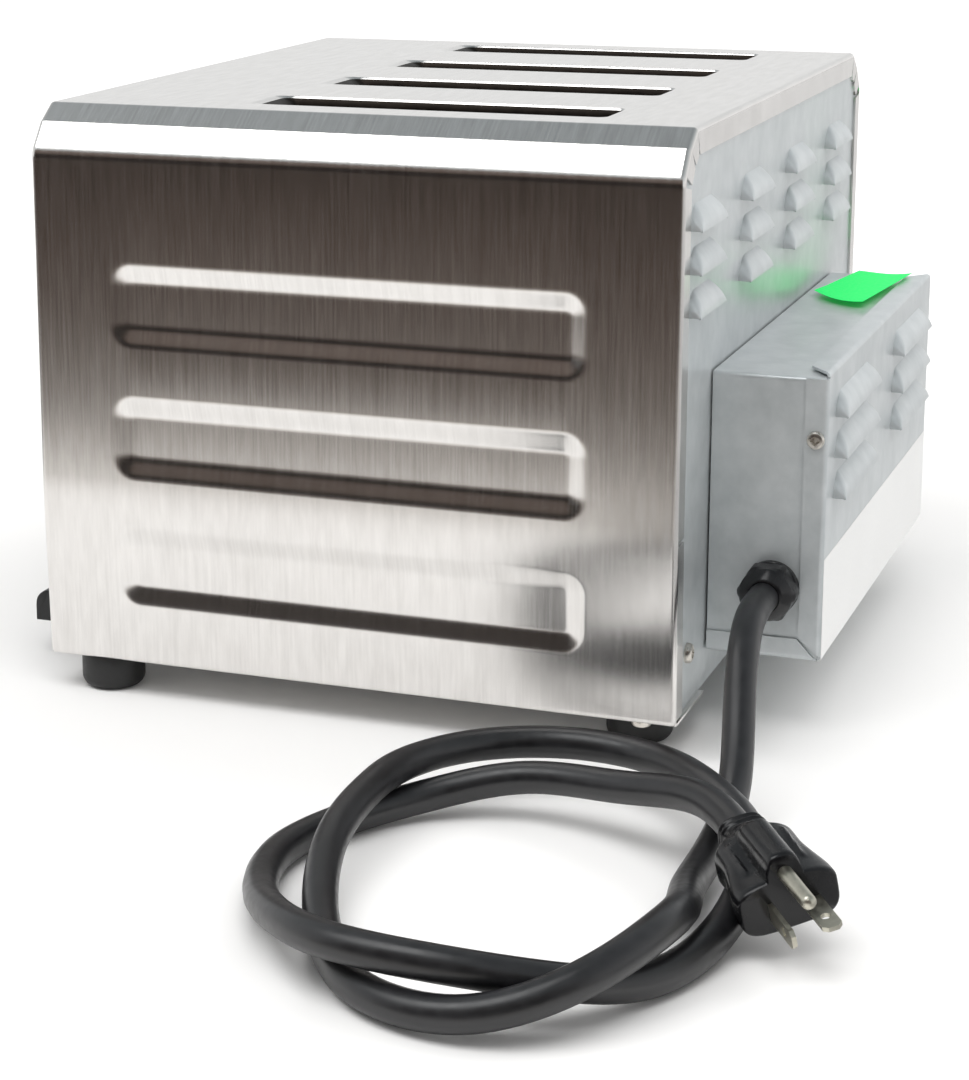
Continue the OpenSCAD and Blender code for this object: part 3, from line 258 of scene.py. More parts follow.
def finish(name, dark, light, rough, metal=0.0, grain=60, blotch=9, bump=0.1, ior=1.45, glow=0.0):
    """A procedural surface: two tones over the mean of a fine grain noise and a broad blotch noise. The grain
    also drives the roughness between its two values, and the bump. glow is light the surface gives off
    itself:
    on the green sticker partly its fluorescence and partly painted light."""
    material, tree = blank_material(name)
    coords = add_node(tree, "TexCoord")
    fine = noise_field(tree, coords, grain, FINE_DETAIL)
    broad = noise_field(tree, coords, blotch, BROAD_DETAIL)
    half = add_node(tree, "Math", {0: broad, 1: BROAD_SHARE}, operation="MULTIPLY")
    mean = add_node(tree, "Math", {0: fine, 1: FINE_SHARE, 2: (half, "Value")}, operation="MULTIPLY_ADD")
    sheen = add_node(tree, "MapRange", {"Value": fine, "From Min": NOISE_BAND[0], "From Max": NOISE_BAND[1],
                                        "To Min": rough[0], "To Max": rough[1]})
    relief = add_node(tree, "Bump", {"Height": fine, "Strength": bump, "Distance": BUMP_DEPTH})
    feed(tree, tree.nodes["Principled BSDF"], {
        "Base Color": tone_ramp(tree, (mean, "Value"), list(zip(TONE_BAND, (dark, light)))),
        "Roughness": (sheen, "Result"), "Normal": (relief, "Normal"), "Metallic": metal, "IOR": ior,
        "Emission Color": (*light, 1), "Emission Strength": glow})
    return material


BRUSHED_TONES = (0.725, 0.705, 0.685), (0.845, 0.825, 0.805), (0.20, 0.25)
brushed = finish("brushed_stainless", *BRUSHED_TONES, metal=1.0, grain=(26, 1100, 26), blotch=(60, 300, 60),
                 bump=0.02)
brushed_front = finish("brushed_front", *BRUSHED_TONES, metal=1.0, grain=(1100, 26, 26), blotch=(300, 60, 60),
                       bump=0.02)
galvanised = finish("galvanised_sheet", (0.56, 0.595, 0.605), (0.67, 0.70, 0.71), (0.30, 0.38), metal=0.45,
                    grain=130, blotch=(70, 70, 50), bump=0.01)
# Near-black steel for the slot wells: painted shade of the slots' deep inside
slot_shade_steel = finish("slot_shade_steel", (0.020, 0.017, 0.015), (0.045, 0.037, 0.031), (0.45, 0.6), metal=1.0,
                       grain=(200, 200, 60), bump=0.05)
inner_steel = finish("inner_steel", (0.34, 0.34, 0.34), (0.50, 0.50, 0.49), (0.35, 0.55), metal=1.0)
guard_wire = finish("guard_wire", (0.28, 0.25, 0.22), (0.46, 0.43, 0.40), (0.3, 0.5), metal=1.0)
screw_steel = finish("screw_steel", (0.70, 0.66, 0.60), (0.82, 0.78, 0.72), (0.24, 0.36), metal=1.0,
                     grain=500, blotch=90, bump=0.02)
mica = finish("mica", (0.34, 0.27, 0.18), (0.56, 0.48, 0.36), (0.5, 0.8), grain=300)
ribbon = finish("heater_ribbon", (0.20, 0.18, 0.17), (0.36, 0.33, 0.31), (0.4, 0.6), metal=1.0)
winding = finish("coil", (0.24, 0.09, 0.03), (0.45, 0.19, 0.08), (0.25, 0.45), grain=(60, 60, 1800), bump=0.5)
circuit = finish("circuit_board", (0.02, 0.12, 0.05), (0.05, 0.24, 0.10), (0.25, 0.45), grain=400)
brass = finish("plug_brass", (0.50, 0.48, 0.40), (0.62, 0.60, 0.51), (0.3, 0.42), metal=1.0, grain=420,
               blotch=120, bump=0.01)
terminal = finish("terminal_plastic", (0.70, 0.67, 0.60), (0.82, 0.79, 0.72), (0.35, 0.55))
satin_black = finish("black_plastic", (0.011, 0.011, 0.012), (0.022, 0.022, 0.023), (0.32, 0.5), grain=900,
                     bump=0.25)
gloss_black = finish("gloss_black", (0.005, 0.005, 0.006), (0.011, 0.011, 0.012), (0.16, 0.3), grain=160,
                     bump=0.08)
jacket = finish("cord_rubber", (0.007, 0.007, 0.008), (0.015, 0.015, 0.017), (0.30, 0.42), grain=240,
                blotch=40, bump=0.15, ior=1.6)
foot_rubber = finish("foot_rubber", (0.010, 0.010, 0.010), (0.022, 0.022, 0.022), (0.4, 0.6), grain=500)
paper = finish("white_paper", (0.89, 0.89, 0.88), (0.95, 0.95, 0.94), (0.35, 0.5), grain=700)
# The green paper's glow is partly its fluorescence and partly painted light that brightens it beyond its
# lighting
green_paper = finish("green_paper", (0.012, 0.84, 0.15), (0.02, 0.95, 0.19), (0.5, 0.7), grain=600, glow=0.16)
white_ink = finish("white_ink", (0.70, 0.70, 0.69), (0.80, 0.80, 0.79), (0.5, 0.7))
black_ink = finish("black_ink", (0.010, 0.010, 0.010), (0.02, 0.02, 0.02), (0.5, 0.7))


# Camera, from the photograph's solved view

CAMERA_PLACE = np.array([1052.123, 343.185, 346.577]) * MM
CAMERA_YAW, CAMERA_PITCH, CAMERA_ROLL = 111.141, 13.221, -0.323
FOCAL_PX, PHOTO_W, PHOTO_H = 2671.431, 969, 1080
PRINCIPAL_X, PRINCIPAL_Y = 363.51, 416.77
SENSOR = 36.0


def make_camera():
    """A camera whose axes come from yaw, pitch and roll, and whose lens and shift come from the photograph's
    focal length and principal point, as shares of its longer side."""
    yaw, pitch, roll = (math.radians(a) for a in (CAMERA_YAW, CAMERA_PITCH, CAMERA_ROLL))
    back = Vector((math.sin(yaw) * math.cos(pitch), -math.cos(yaw) * math.cos(pitch), math.sin(pitch)))
    right = (-back).cross(Vector((0, 0, 1))).normalized()
    up = right.cross(-back)
    right, up = (math.cos(roll) * right + math.sin(roll) * up, -math.sin(roll) * right + math.cos(roll) * up)
    data = bpy.data.cameras.new("photo_camera")
    data.sensor_width = SENSOR
    data.lens = FOCAL_PX / PHOTO_H * SENSOR
    data.shift_x = (PHOTO_W / 2 - PRINCIPAL_X) / PHOTO_H
    data.shift_y = (PRINCIPAL_Y - PHOTO_H / 2) / PHOTO_H
    camera = bpy.data.objects.new("photo_camera", data)
    camera.matrix_world = Matrix.Translation(CAMERA_PLACE) @ Matrix((right, up, back)).transposed().to_4x4()
    scene.collection.objects.link(camera)
    scene.camera = camera


make_camera()


# Mains lead: the route of the part's source, in frame millimetres

LEAD_ROUTE = np.array([
    [124, 141, 57], [152, 141, 57],
    [182, 146, 37], [209, 153, 13], [245, 153, 6], [284, 153, 8],
    [319, 163, 19], [348, 164, 25], [379, 151, 19], [396, 119, 7], [386, 81, 6], [358, 61, 6],
    [329, 47, 11], [297, 39, 18], [264, 40, 21], [234, 40, 19], [206, 58, 19], [192, 93, 19],
    [203, 126, 20], [227, 145, 23], [249, 168, 19], [280, 174, 12], [317, 171, 6], [353, 160, 6],
    [374, 134, 14], [386, 105, 20], [381, 67, 19], [357, 43, 14], [329, 26, 7], [294, 16, 6],
    [259, 28, 6], [233, 48, 7], [221, 82, 17], [234, 119, 19], [249, 151, 29], [275, 169, 26]], float)
LEAD_D = 11.5
LEAD_STEPS, LEAD_RING = 10, 6


def smooth_route(route, steps):
    """A uniform cubic B-spline over the route, with its ends reflected so that it starts and ends on them."""
    held = np.vstack([2 * route[0] - route[1], route, 2 * route[-1] - route[-2]])
    u = np.linspace(0, 1, steps, endpoint=False)[:, None]
    weights = [(1 - u) ** 3, 3 * u ** 3 - 6 * u ** 2 + 4, -3 * u ** 3 + 3 * u ** 2 + 3 * u + 1, u ** 3]
    spans = [sum(w * held[i + k] for k, w in enumerate(weights)) / 6 for i in range(len(route) - 1)]
    return np.vstack(spans + [route[-1:]])


def make_lead():
    """A round tube along the smooth route, as one open spline."""
    path = smooth_route(LEAD_ROUTE, LEAD_STEPS) * MM
    curve = bpy.data.curves.new("mains_lead", "CURVE")
    curve.dimensions = "3D"
    curve.bevel_depth = LEAD_D / 2 * MM
    curve.bevel_resolution = LEAD_RING
    curve.use_fill_caps = True
    line = curve.splines.new("POLY")
    line.points.add(len(path) - 1)
    line.points.foreach_set("co", np.hstack([path, np.ones((len(path), 1))]).ravel())
    line.use_smooth = True
    lead = settle(bpy.data.objects.new("mains_lead", curve), jacket, "cord_rubber", ["power_cord"])
    length = float(np.linalg.norm(np.diff(path, axis=0), axis=1).sum())
    return lead, length


lead, lead_length = make_lead()


# Plug, in its own frame: +X to the face, carried to the end of the lead

PLUG_L, PLUG_ROLL, PLUG_SIDES = 40.0, 14.0, 144
# Sections along the neck and along the body, and the last ones, which close the face by these shares
NECK_ROWS, BODY_ROWS, FACE_ROWS = (0, 9, 37), (9.5, 38, 58), [39.0, 39.6, PLUG_L, PLUG_L, PLUG_L]
FACE_EDGE, FACE_SHRINK, FACE_SHARES = 38.6, 0.04, [0.97, 0.55, 0.0]
# The neck's wall over the lead, its flare, and the height, width and places of its two rings
NECK_WALL, NECK_FLARE = 1.2, 0.1
RING_H, RING_W, RING_XS = 0.8, 0.8, (1.8, 4.6)
# Where the neck becomes the body. Half sizes of the body: at first, what is gained, and from where to where
BODY_SPAN = 6.5, 13.0
PLUG_WIDTH, PLUG_BELOW, PLUG_WING = (13.4, 2.8, 18, 36), (9.2, 2.6, 18, 34), (9.0, -2.6, 13, 34)
DOME_HEIGHT, DOME_WIDTH = (9.6, 4.6, 8, 18), (6.1, 0.0, 8, 18)
# How far the body's ellipses are squared above and below, and the power of the dome's
SQUARE_ABOVE, SQUARE_BELOW, DOME_POWER = 0.5, 2.6, 3.2
WEB_H, WEB_W, WEB_Y, WEB_RISE, WEB_FALL, WEB_ABOVE = 0.9, 0.7, 9.4, (14, 17), (29, 33), 0.25


def plug_frame():
    """Rotation and place of the plug: turned and tilted along the lead's last span, then rolled."""
    ahead = LEAD_ROUTE[-1] - LEAD_ROUTE[-2]
    turn = math.atan2(ahead[1], ahead[0])
    tilt = math.atan2(-ahead[2], math.hypot(ahead[0], ahead[1]))
    spin = (Matrix.Rotation(turn, 3, "Z") @ Matrix.Rotation(tilt, 3, "Y")
            @ Matrix.Rotation(math.radians(PLUG_ROLL), 3, "X"))
    return np.array(spin), LEAD_ROUTE[-1]


def eased(t, low, high):
    """A smooth step from 0 at low to 1 at high."""
    u = np.clip((t - low) / (high - low), 0, 1)
    return u * u * (3 - 2 * u)


def make_plug():
    """A loft of closed sections along X. Each is the outer of two squared ellipses: a wide low one for the
    blades, and a tall narrow one for the ground pin. The neck is round with two rings, the body widens to
    a flat face, and a thin web stands on each shoulder."""
    x = np.concatenate([spaced(NECK_ROWS), spaced(BODY_ROWS), FACE_ROWS])[:, None]
    angle = np.linspace(0, FULL_TURN, PLUG_SIDES + 1)
    grown = eased(x, *BODY_SPAN)
    rings = sum(RING_H * np.exp(-((x - ring_x) / RING_W) ** 2) for ring_x in RING_XS)
    neck = LEAD_D / 2 + NECK_WALL + NECK_FLARE * x + rings
    sizes = PLUG_WIDTH, PLUG_BELOW, PLUG_WING, DOME_HEIGHT, DOME_WIDTH
    half_w, low, wing, dome, dome_w = (neck * (1 - grown) + grown * (start + gain * eased(x, first, last))
                                       for start, gain, first, last in sizes)
    close = np.ones_like(x)
    close[-len(FACE_SHARES):, 0] = FACE_SHARES
    shrink = 1 - FACE_SHRINK * eased(x, FACE_EDGE, PLUG_L)
    c, s = np.abs(np.cos(angle))[None, :], np.sin(angle)[None, :]
    above = s > 0
    high = np.where(above, wing, low)
    square = 2 + np.where(above, SQUARE_ABOVE, SQUARE_BELOW) * grown
    block = ((c / half_w) ** square + (np.abs(s) / high) ** square) ** (-1 / square)
    post = ((c / dome_w) ** DOME_POWER + (np.abs(s) / dome) ** DOME_POWER) ** (-1 / DOME_POWER)
    radius = np.where(above, np.maximum(block, post), block)
    y, z = radius * np.cos(angle)[None, :], radius * s
    web = np.exp(-((np.abs(y) - WEB_Y) / WEB_W) ** 2) * eased(x, *WEB_RISE) * (1 - eased(x, *WEB_FALL))
    z = z + WEB_H * web * (s > WEB_ABOVE)
    points = np.stack([x + 0 * y, y * close * shrink, z * close * shrink], axis=-1)
    points[:, -1] = points[:, 0]
    spin, place = plug_frame()
    moved = points @ spin.T + place - BODY_SHIFT
    axis_point = np.array([PLUG_L / 2, 0, 0]) @ spin.T + place - BODY_SHIFT
    sheet = patch(moved, lambda mid: mid - axis_point)
    back = moved[0].mean(axis=0)
    return piece("plug_moulding", [sheet, cap(moved[0], back, back - axis_point)], gloss_black, "gloss_black",
                 ["plug_body"], crease=40)


plug = make_plug()


# Outer wrap: a bent sheet over both sides and the top

HALF_W, HALF_D, TOP_Z, LOW_Z, KINK_Z = 158.5, 127.0, 231.0, 14.0, 83.0
SIDE_TUCK, SHEET = 3.0, 1.0
FLANGE, BOTTOM_FLANGE, NOTCH = 10.0, 42.0, 1.6
EDGE_R, EDGE_STEPS, BEND_STEPS = 2.0, 6, 8
# A flange runs on across a bend that turns less than this
KINK_TURN = math.radians(5)
# Grid lines this far beside a bend keep the flat sheet's shading flat, and none lies nearer than BEND_CLEAR
FLAT_KEEP, BEND_CLEAR = 0.45, 0.2
# The shoulder's two lower corners, and half the width of the flat top
SHOULDER, TOP_HALF = [[HALF_W, 214.3], [150.5, 224.7]], 141.5
WRAP_CORNERS = np.array([
    [HALF_W - SIDE_TUCK - BOTTOM_FLANGE, LOW_Z], [HALF_W - SIDE_TUCK, LOW_Z], [HALF_W, KINK_Z], *SHOULDER,
    [TOP_HALF, TOP_Z]])
BEND_R = [0.0, 2.2, 240.0, 8.0, 2.2, 2.2]
# The outline goes from the right bottom flange over the top to the left one
WRAP_OUTLINE = np.vstack([WRAP_CORNERS, WRAP_CORNERS[::-1] * [-1, 1]])
SIDE_LEGS, TOP_LEG = [1, 2, 8, 9], 5
# A cell's outer side is told by its way from the wrap's middle, of which little counts along Y
WRAP_MIDDLE, WRAP_LOOK = np.array([0, 0, 110.0]), np.array([1, 0.02, 1])
PRESSING_L, PRESSING_H, PRESSING_DEPTH, PRESSING_RAMP, PRESSING_R = 187.0, 31.0, 2.3, 6.7, 8.5
PRESSING_Y = -1.0
PRESSING_ZS = [157.0, 105.5, 54.0]
# Grid lines over a pressing's ramp, counted inwards from its edge, and one on each bottom flange
RAMP_LINES, BOTTOM_LINE = spaced((-1.5, 14.5, 17)), 20.0
RIM_LINES = 12
SLOT_XS = [-109.5, -36.5, 36.5, 109.5]
SLOT_W, SLOT_L, SLOT_Y = 26.0, 130.0, 22.0
# A slot's lip breaks from the top at LIP_START degrees, turns down over LIP_R, which takes LIP_OUT across,
# and from the angle listed after LIP_START on is near-black, painted shade of the slot's inside
LIP_R, LIP_START, LIP_SHADE_FROM, LIP_LOW, LIP_CORNER, LIP_PAD, LIP_SWEEP = 6.2, 47.0, 55.5, 223.0, 2.0, 1.5, 5.4
LIP_OUT = LIP_R * (1 - math.sin(math.radians(LIP_START)))
LIP_STEPS, LIP_LINES, FRONT_LINES = 6, 5, 7
LIP_REACH = SLOT_W / 2 + LIP_OUT + LIP_PAD
# A place over a slot that its lip looks to, the slack when grid lines are picked by their place, and the
# least gap between grid lines from front to rear
OVER_SLOT, SLACK, LINE_GAP = 12.0, 0.01, 0.05


def ramp(t, soft=0.18):
    """A straight ramp from 0 to 1 over t = 0 to 1 whose two bends are rounded over soft on each side."""
    def bend(v):
        inside = (v + soft) ** 2 / (4 * soft)
        return np.where(v < -soft, 0, np.where(v > soft, v, inside))
    return bend(t) - bend(t - 1)


def pressed(y, z):
    """Depth of the side pressings at (y, z): a ramp over the distance inside each rounded rectangle."""
    depth = np.zeros(np.broadcast(y, z).shape)
    for middle in PRESSING_ZS:
        a = np.abs(y - PRESSING_Y) - (PRESSING_L / 2 - PRESSING_R)
        b = np.abs(z - middle) - (PRESSING_H / 2 - PRESSING_R)
        inside = PRESSING_R - np.hypot(np.maximum(a, 0), np.maximum(b, 0)) - np.minimum(np.maximum(a, b), 0)
        depth = np.maximum(depth, PRESSING_DEPTH * ramp(inside / PRESSING_RAMP))
    return depth


def rounded_line(corners, radii, extra):
    """Points, inward normals, leg numbers and places along the leg of a line whose corners are rounded. extra
    lists the places of more points on each leg. Points on a bend have leg -1."""
    legs = np.diff(corners, axis=0)
    lengths = np.linalg.norm(legs, axis=1)
    ways = legs / lengths[:, None]
    turns = np.r_[0, np.arccos(np.clip(np.sum(ways[:-1] * ways[1:], axis=1), -1, 1)), 0]
    cuts = np.asarray(radii) * np.tan(turns / 2)
    rows = []
    for i, way in enumerate(ways):
        inward = np.array([-way[1], way[0]])
        start, end = cuts[i], lengths[i] - cuts[i + 1]
        lines = np.r_[start + FLAT_KEEP, extra[i], end - FLAT_KEEP]
        held = lines[(lines > start + BEND_CLEAR) & (lines < end - BEND_CLEAR)]
        places = np.r_[start, distinct(held), end]
        spots = corners[i] + places[:, None] * way
        rows.append(np.c_[spots, np.tile(inward, (len(places), 1)), np.full(len(places), i), places])
        if i + 1 < len(ways) and turns[i + 1] > 0:
            middle = corners[i] + end * way + radii[i + 1] * inward
            swing = np.linspace(0, turns[i + 1], BEND_STEPS)[1:-1, None]
            out = -inward * np.cos(swing) + way * np.sin(swing)
            rows.append(np.c_[middle + radii[i + 1] * out, -out, np.full(len(out), -1), np.zeros(len(out))])
    return np.vstack(rows), lengths, turns, ways


def wrap_lines():
    """The wrap's whole outline, with grid lines at the pressings' ramps and the slots' lips."""
    ramps = np.r_[RAMP_LINES, PRESSING_H / 2 - SLACK]
    side = [np.r_[z - PRESSING_H / 2 + ramps, z + PRESSING_H / 2 - ramps] for z in PRESSING_ZS]
    lower = np.sort(side[2]) - LOW_Z
    upper = np.sort(np.r_[side[0], side[1]]) - KINK_Z
    core = SLOT_W / 2 - LIP_CORNER
    lip = np.r_[spaced((-LIP_REACH, -core, LIP_LINES)), spaced((core, LIP_REACH, LIP_LINES))]
    top = TOP_HALF - np.sort(np.concatenate([x + lip for x in SLOT_XS]))[::-1]
    extra = [[BOTTOM_LINE], lower, upper, [], [], top]
    lengths = np.linalg.norm(np.diff(WRAP_CORNERS, axis=0), axis=1)
    backward = [np.sort(length - np.asarray(e)) for e, length in zip(extra, lengths)]
    return rounded_line(WRAP_OUTLINE, BEND_R + BEND_R[::-1], extra + backward[::-1])


def wrap_depths():
    """Grid lines from the front to the rear: the pressings' end ramps and the slots' ends."""
    ends = PRESSING_Y + np.r_[-PRESSING_L / 2 + RAMP_LINES, PRESSING_L / 2 - RAMP_LINES]
    low_reach = SLOT_L / 2 + LIP_OUT * LIP_SWEEP + LIP_PAD
    high_reach = SLOT_L / 2 + LIP_OUT + LIP_PAD
    core = SLOT_L / 2 - LIP_CORNER
    slot = SLOT_Y + np.r_[spaced((-low_reach, -core, FRONT_LINES)), spaced((core, high_reach, LIP_LINES))]
    rim = HALF_D - EDGE_R
    lines = np.sort(np.r_[ends, slot, spaced((-rim, rim, RIM_LINES)), FLAT_KEEP - rim, rim - FLAT_KEEP])
    return lines[np.r_[True, np.diff(lines) > LINE_GAP]], (SLOT_Y - low_reach, SLOT_Y + high_reach)


def slot_lip(x, xs, ys):
    """The drawn lip of one slot: rings that start on the grid's own points round the opening, break down at
    an angle and turn over an arc to the upright. At the front end the turn is drawn out along Y. The lip and
    the well under it, whose near-black finish is painted shade of the slot's inside, are two patches."""
    loop = np.vstack([pairs(xs, ys[0]), pairs(xs[-1], ys[1:]), pairs(xs[-2::-1], ys[-1]),
                      pairs(xs[0], ys[-2::-1])])
    half = np.array([SLOT_W / 2, SLOT_L / 2]) - LIP_CORNER
    middle = np.array([x, SLOT_Y])
    held = np.clip(loop - middle, -half, half)
    away = loop - middle - held
    away = away / np.linalg.norm(away, axis=1)[:, None]
    sweep = np.where(away[:, 1] < 0, LIP_SWEEP, 1.0)
    rings = [raised(loop, TOP_Z)]
    bright_turn = np.linspace(LIP_START, LIP_SHADE_FROM, LIP_STEPS)
    turn = np.radians(np.r_[bright_turn, np.linspace(LIP_SHADE_FROM, 90, LIP_STEPS)[1:]])
    offsets = LIP_R * (1 - np.sin(turn))
    drops = LIP_R * (np.cos(turn[0]) - np.cos(turn))
    for offset, drop in zip(offsets, drops):
        reach = np.c_[away[:, 0] * (LIP_CORNER + offset), away[:, 1] * (LIP_CORNER + offset * sweep)]
        rings.append(raised(middle + held + reach, TOP_Z - drop))
    rings.append(raised(rings[-1][:, :2], LIP_LOW))
    inside = np.array([x, SLOT_Y, TOP_Z + OVER_SLOT])
    parts = rings[:LIP_STEPS + 1], rings[LIP_STEPS:]
    return [patch(np.array(rows), lambda mid: inside - mid) for rows in parts]


def wrap_flanges(inward, leg, place, lengths, turns, ways):
    """A flat strip for each leg at both edges. Its free edge stops at the line that halves each bend, less
    half a notch, and the strip runs on straight across a slight bend."""
    strips = []
    for i in range(1, len(lengths) - 1):
        here = leg == i
        normal = inward[here][0]
        first = FLANGE * math.tan(turns[i] / 2) * (i > 1) + NOTCH / 2
        last = lengths[i] - FLANGE * math.tan(turns[i + 1] / 2) * (i + 2 < len(lengths)) - NOTCH / 2
        slight = turns[i:i + 2] < KINK_TURN
        ends = np.array([NOTCH / 2, lengths[i] - NOTCH / 2])[slight]
        places = np.unique(np.r_[place[here], ends])
        along = WRAP_OUTLINE[i] + places[:, None] * ways[i]
        slid = WRAP_OUTLINE[i] + np.clip(places, first, last)[:, None] * ways[i]
        rows = np.stack([along + EDGE_R * normal, along + (EDGE_R + FLAT_KEEP) * normal,
                         slid + FLANGE * normal])
        for side in (-1, 1):
            strip = np.stack([rows[..., 0], np.full(rows.shape[:2], side * HALF_D), rows[..., 1]], axis=-1)
            strips.append(patch(strip, [0, side, 0]))
    return strips


def make_wrap():
    """The outline carried along Y with its edges turned in over a radius, pressed at the sides and cut open
    at the slots, and a flange for each leg, open at the bends."""
    line, lengths, turns, ways = wrap_lines()
    spot, inward, leg, place = line[:, :2], line[:, 2:4], line[:, 4].astype(int), line[:, 5]
    depths, slot_span = wrap_depths()
    swing = np.radians(np.linspace(0, 90, EDGE_STEPS))
    edge_y, edge_in = EDGE_R * np.cos(swing), EDGE_R - EDGE_R * np.sin(swing)
    y = np.r_[-HALF_D + EDGE_R - edge_y[:-1], depths, (HALF_D - EDGE_R + edge_y[:-1])[::-1]]
    turned_in = np.r_[edge_in[:-1], np.zeros(len(depths)), edge_in[:-1][::-1]]
    on_side = np.isin(leg, SIDE_LEGS)
    dent = np.where(on_side[:, None], pressed(y[None, :], spot[:, 1][:, None]), 0) + turned_in[None, :]
    flat = (leg == 0) | (leg == len(lengths) - 1)
    dent = np.where(flat[:, None], 0, dent)
    plane = spot[:, None, :] + dent[..., None] * inward[:, None, :]
    points = np.stack([plane[..., 0], np.repeat(y[None], len(spot), axis=0), plane[..., 1]], axis=-1)
    mid_x = (spot[:-1, 0] + spot[1:, 0]) / 2
    mid_y = (y[:-1] + y[1:]) / 2
    on_top = (leg[:-1] == TOP_LEG) & (leg[1:] == TOP_LEG)
    in_slot = np.any([np.abs(mid_x - x) < LIP_REACH for x in SLOT_XS], axis=0) & on_top
    in_span = (mid_y > slot_span[0]) & (mid_y < slot_span[1])
    keep = ~(in_slot[:, None] & in_span[None, :])
    patches = [patch(points, lambda mid: (mid - WRAP_MIDDLE) * WRAP_LOOK, keep)]
    top = spot[leg == TOP_LEG, 0]
    ys = depths[(depths > slot_span[0] - SLACK) & (depths < slot_span[1] + SLACK)]
    wells = []
    for x in SLOT_XS:
        bright, well = slot_lip(x, np.sort(top[np.abs(top - x) < LIP_REACH + SLACK]), ys)
        patches.append(bright)
        wells.append(well)
    # The wells' near-black finish is painted shade of the slots' inside
    piece("slot_wells", wells, slot_shade_steel, "brushed_stainless", ["outer_wrap"], wall=SHEET)
    patches += wrap_flanges(inward, leg, place, lengths, turns, ways)
    return piece("wrap_sheet", patches, brushed, "brushed_stainless", ["outer_wrap"], wall=SHEET, crease=28)


make_wrap()


# Louvred sheets: the rear panel and the box cover, both facing +Y

LOUVRE_OUT, LOUVRE_H, LOUVRE_SLOPE, LOUVRE_PAD = 5.0, 9.0, 8.0, 1.0
LOUVRE_ZS = np.array([0.0, 1.5, 3.0, 4.5, 6.0, 7.5, LOUVRE_H + LOUVRE_PAD])
LOUVRE_TIP, LOUVRE_ROUND, LOUVRE_LINES, LOUVRE_LOOK = 1.6, 1.2, 6, [0, 1, 0.2]
# Shares of the way from a louvre's rim down to its ridge
LOUVRE_SHARES = np.array([0.0, 0.05, 0.12, 0.22, 0.35, 0.5, 0.68, 0.85, 1.0])


def louvre_lines(middle, length):
    """Grid lines across one louvre: its box, its rim's straight stretch and a few between."""
    inner = length / 2 - LOUVRE_SLOPE
    rim = spaced((-inner, inner, LOUVRE_LINES))
    return middle + np.r_[-length / 2 - LOUVRE_PAD, rim, length / 2 + LOUVRE_PAD]


def louvre(middle, low, length, face):
    """One hood, lofted from the sheet round it to a rim and on to the ridge along its open lower edge,
    standing out along a parabola. The rim rises at both ends along a quarter of a squared ellipse, and the
    ridge's ends gather there into a cone."""
    half = length / 2
    top_x = louvre_lines(0.0, length)[1:-1]
    swing = np.radians(np.linspace(0, 90, len(LOUVRE_ZS)))
    end_x = half - LOUVRE_SLOPE * (1 - np.cos(swing) ** LOUVRE_ROUND)
    end_z = LOUVRE_H * np.sin(swing) ** LOUVRE_ROUND
    tip_x = half - LOUVRE_TIP * (1 - np.cos(swing))
    box_x = half + LOUVRE_PAD
    box = np.vstack([pairs(-box_x, LOUVRE_ZS), pairs(top_x, LOUVRE_ZS[-1]), pairs(box_x, LOUVRE_ZS[::-1])])
    rim = np.vstack([pairs(-end_x, end_z), pairs(top_x, LOUVRE_H), pairs(end_x, end_z)[::-1]])
    reach = (half - LOUVRE_TIP) / (half - LOUVRE_SLOPE)
    ridge = pairs(np.r_[-tip_x, top_x * reach, tip_x[::-1]], 0.0)
    rows = [np.insert(box, 1, 0.0, axis=1)]
    for share in LOUVRE_SHARES:
        out = LOUVRE_OUT * (1 - (1 - share) ** 2)
        rows.append(np.insert((1 - share) * rim + share * ridge, 1, out, axis=1))
    return patch(np.array(rows) + np.array([middle, face, low]), LOUVRE_LOOK)


def louvred_sheet(xs, zs, columns, rows, length, face, keep_out=None, edge=None):
    """A flat grid at y = face without the cells behind the louvres, and the louvres. edge bends the grid."""
    xs = distinct(np.r_[xs, *[louvre_lines(c, length) for c in columns]])
    zs = distinct(np.r_[zs, *[r + LOUVRE_ZS for r in rows]])
    grid = np.stack(np.broadcast_arrays(xs[:, None], face, zs[None, :]), axis=-1).astype(float)
    mid_x = ((xs[:-1] + xs[1:]) / 2)[:, None]
    mid_z = ((zs[:-1] + zs[1:]) / 2)[None, :]
    keep = np.ones((len(xs) - 1, len(zs) - 1), bool)
    for c in columns:
        across = np.abs(mid_x - c) < length / 2 + LOUVRE_PAD
        for r in rows:
            keep &= ~(across & (mid_z > r) & (mid_z < r + LOUVRE_ZS[-1]))
    if keep_out:
        keep &= ~keep_out(mid_x, mid_z)
    if edge:
        grid = edge(grid)
    hoods = [louvre(c, r, length, face) for c in columns for r in rows]
    return [patch(grid, [0, 1, 0], keep)] + hoods


PANEL_Y, PANEL_LOW = 126.0, 21.0
# The panel's outline: half its width at each height
PANEL_HEIGHTS = np.array([PANEL_LOW, KINK_Z, 213.9, 224.0, 229.9])
PANEL_WIDTHS = np.array([154.8, 157.4, 157.4, 149.8, 141.2])
# The panel is cut away under the box, and these lines keep its cells small
CUT_HALF, CUT_TOP, PANEL_LINE_X, PANEL_LINE_Z = 107.0, 33.0, 150.0, 60.0
REAR_COLUMNS = np.array([-106.0, -28.0, 50.0, 128.0])
REAR_ROWS = np.array([195.0, 179.5, 164.0])
REAR_LOUVRE_L, COVER_LOUVRE_L = 38.0, 66.5
BOX_HALF, BOX_LOW, BOX_TOP, COVER_Y = 110.25, 30.0, 139.5, 170.0


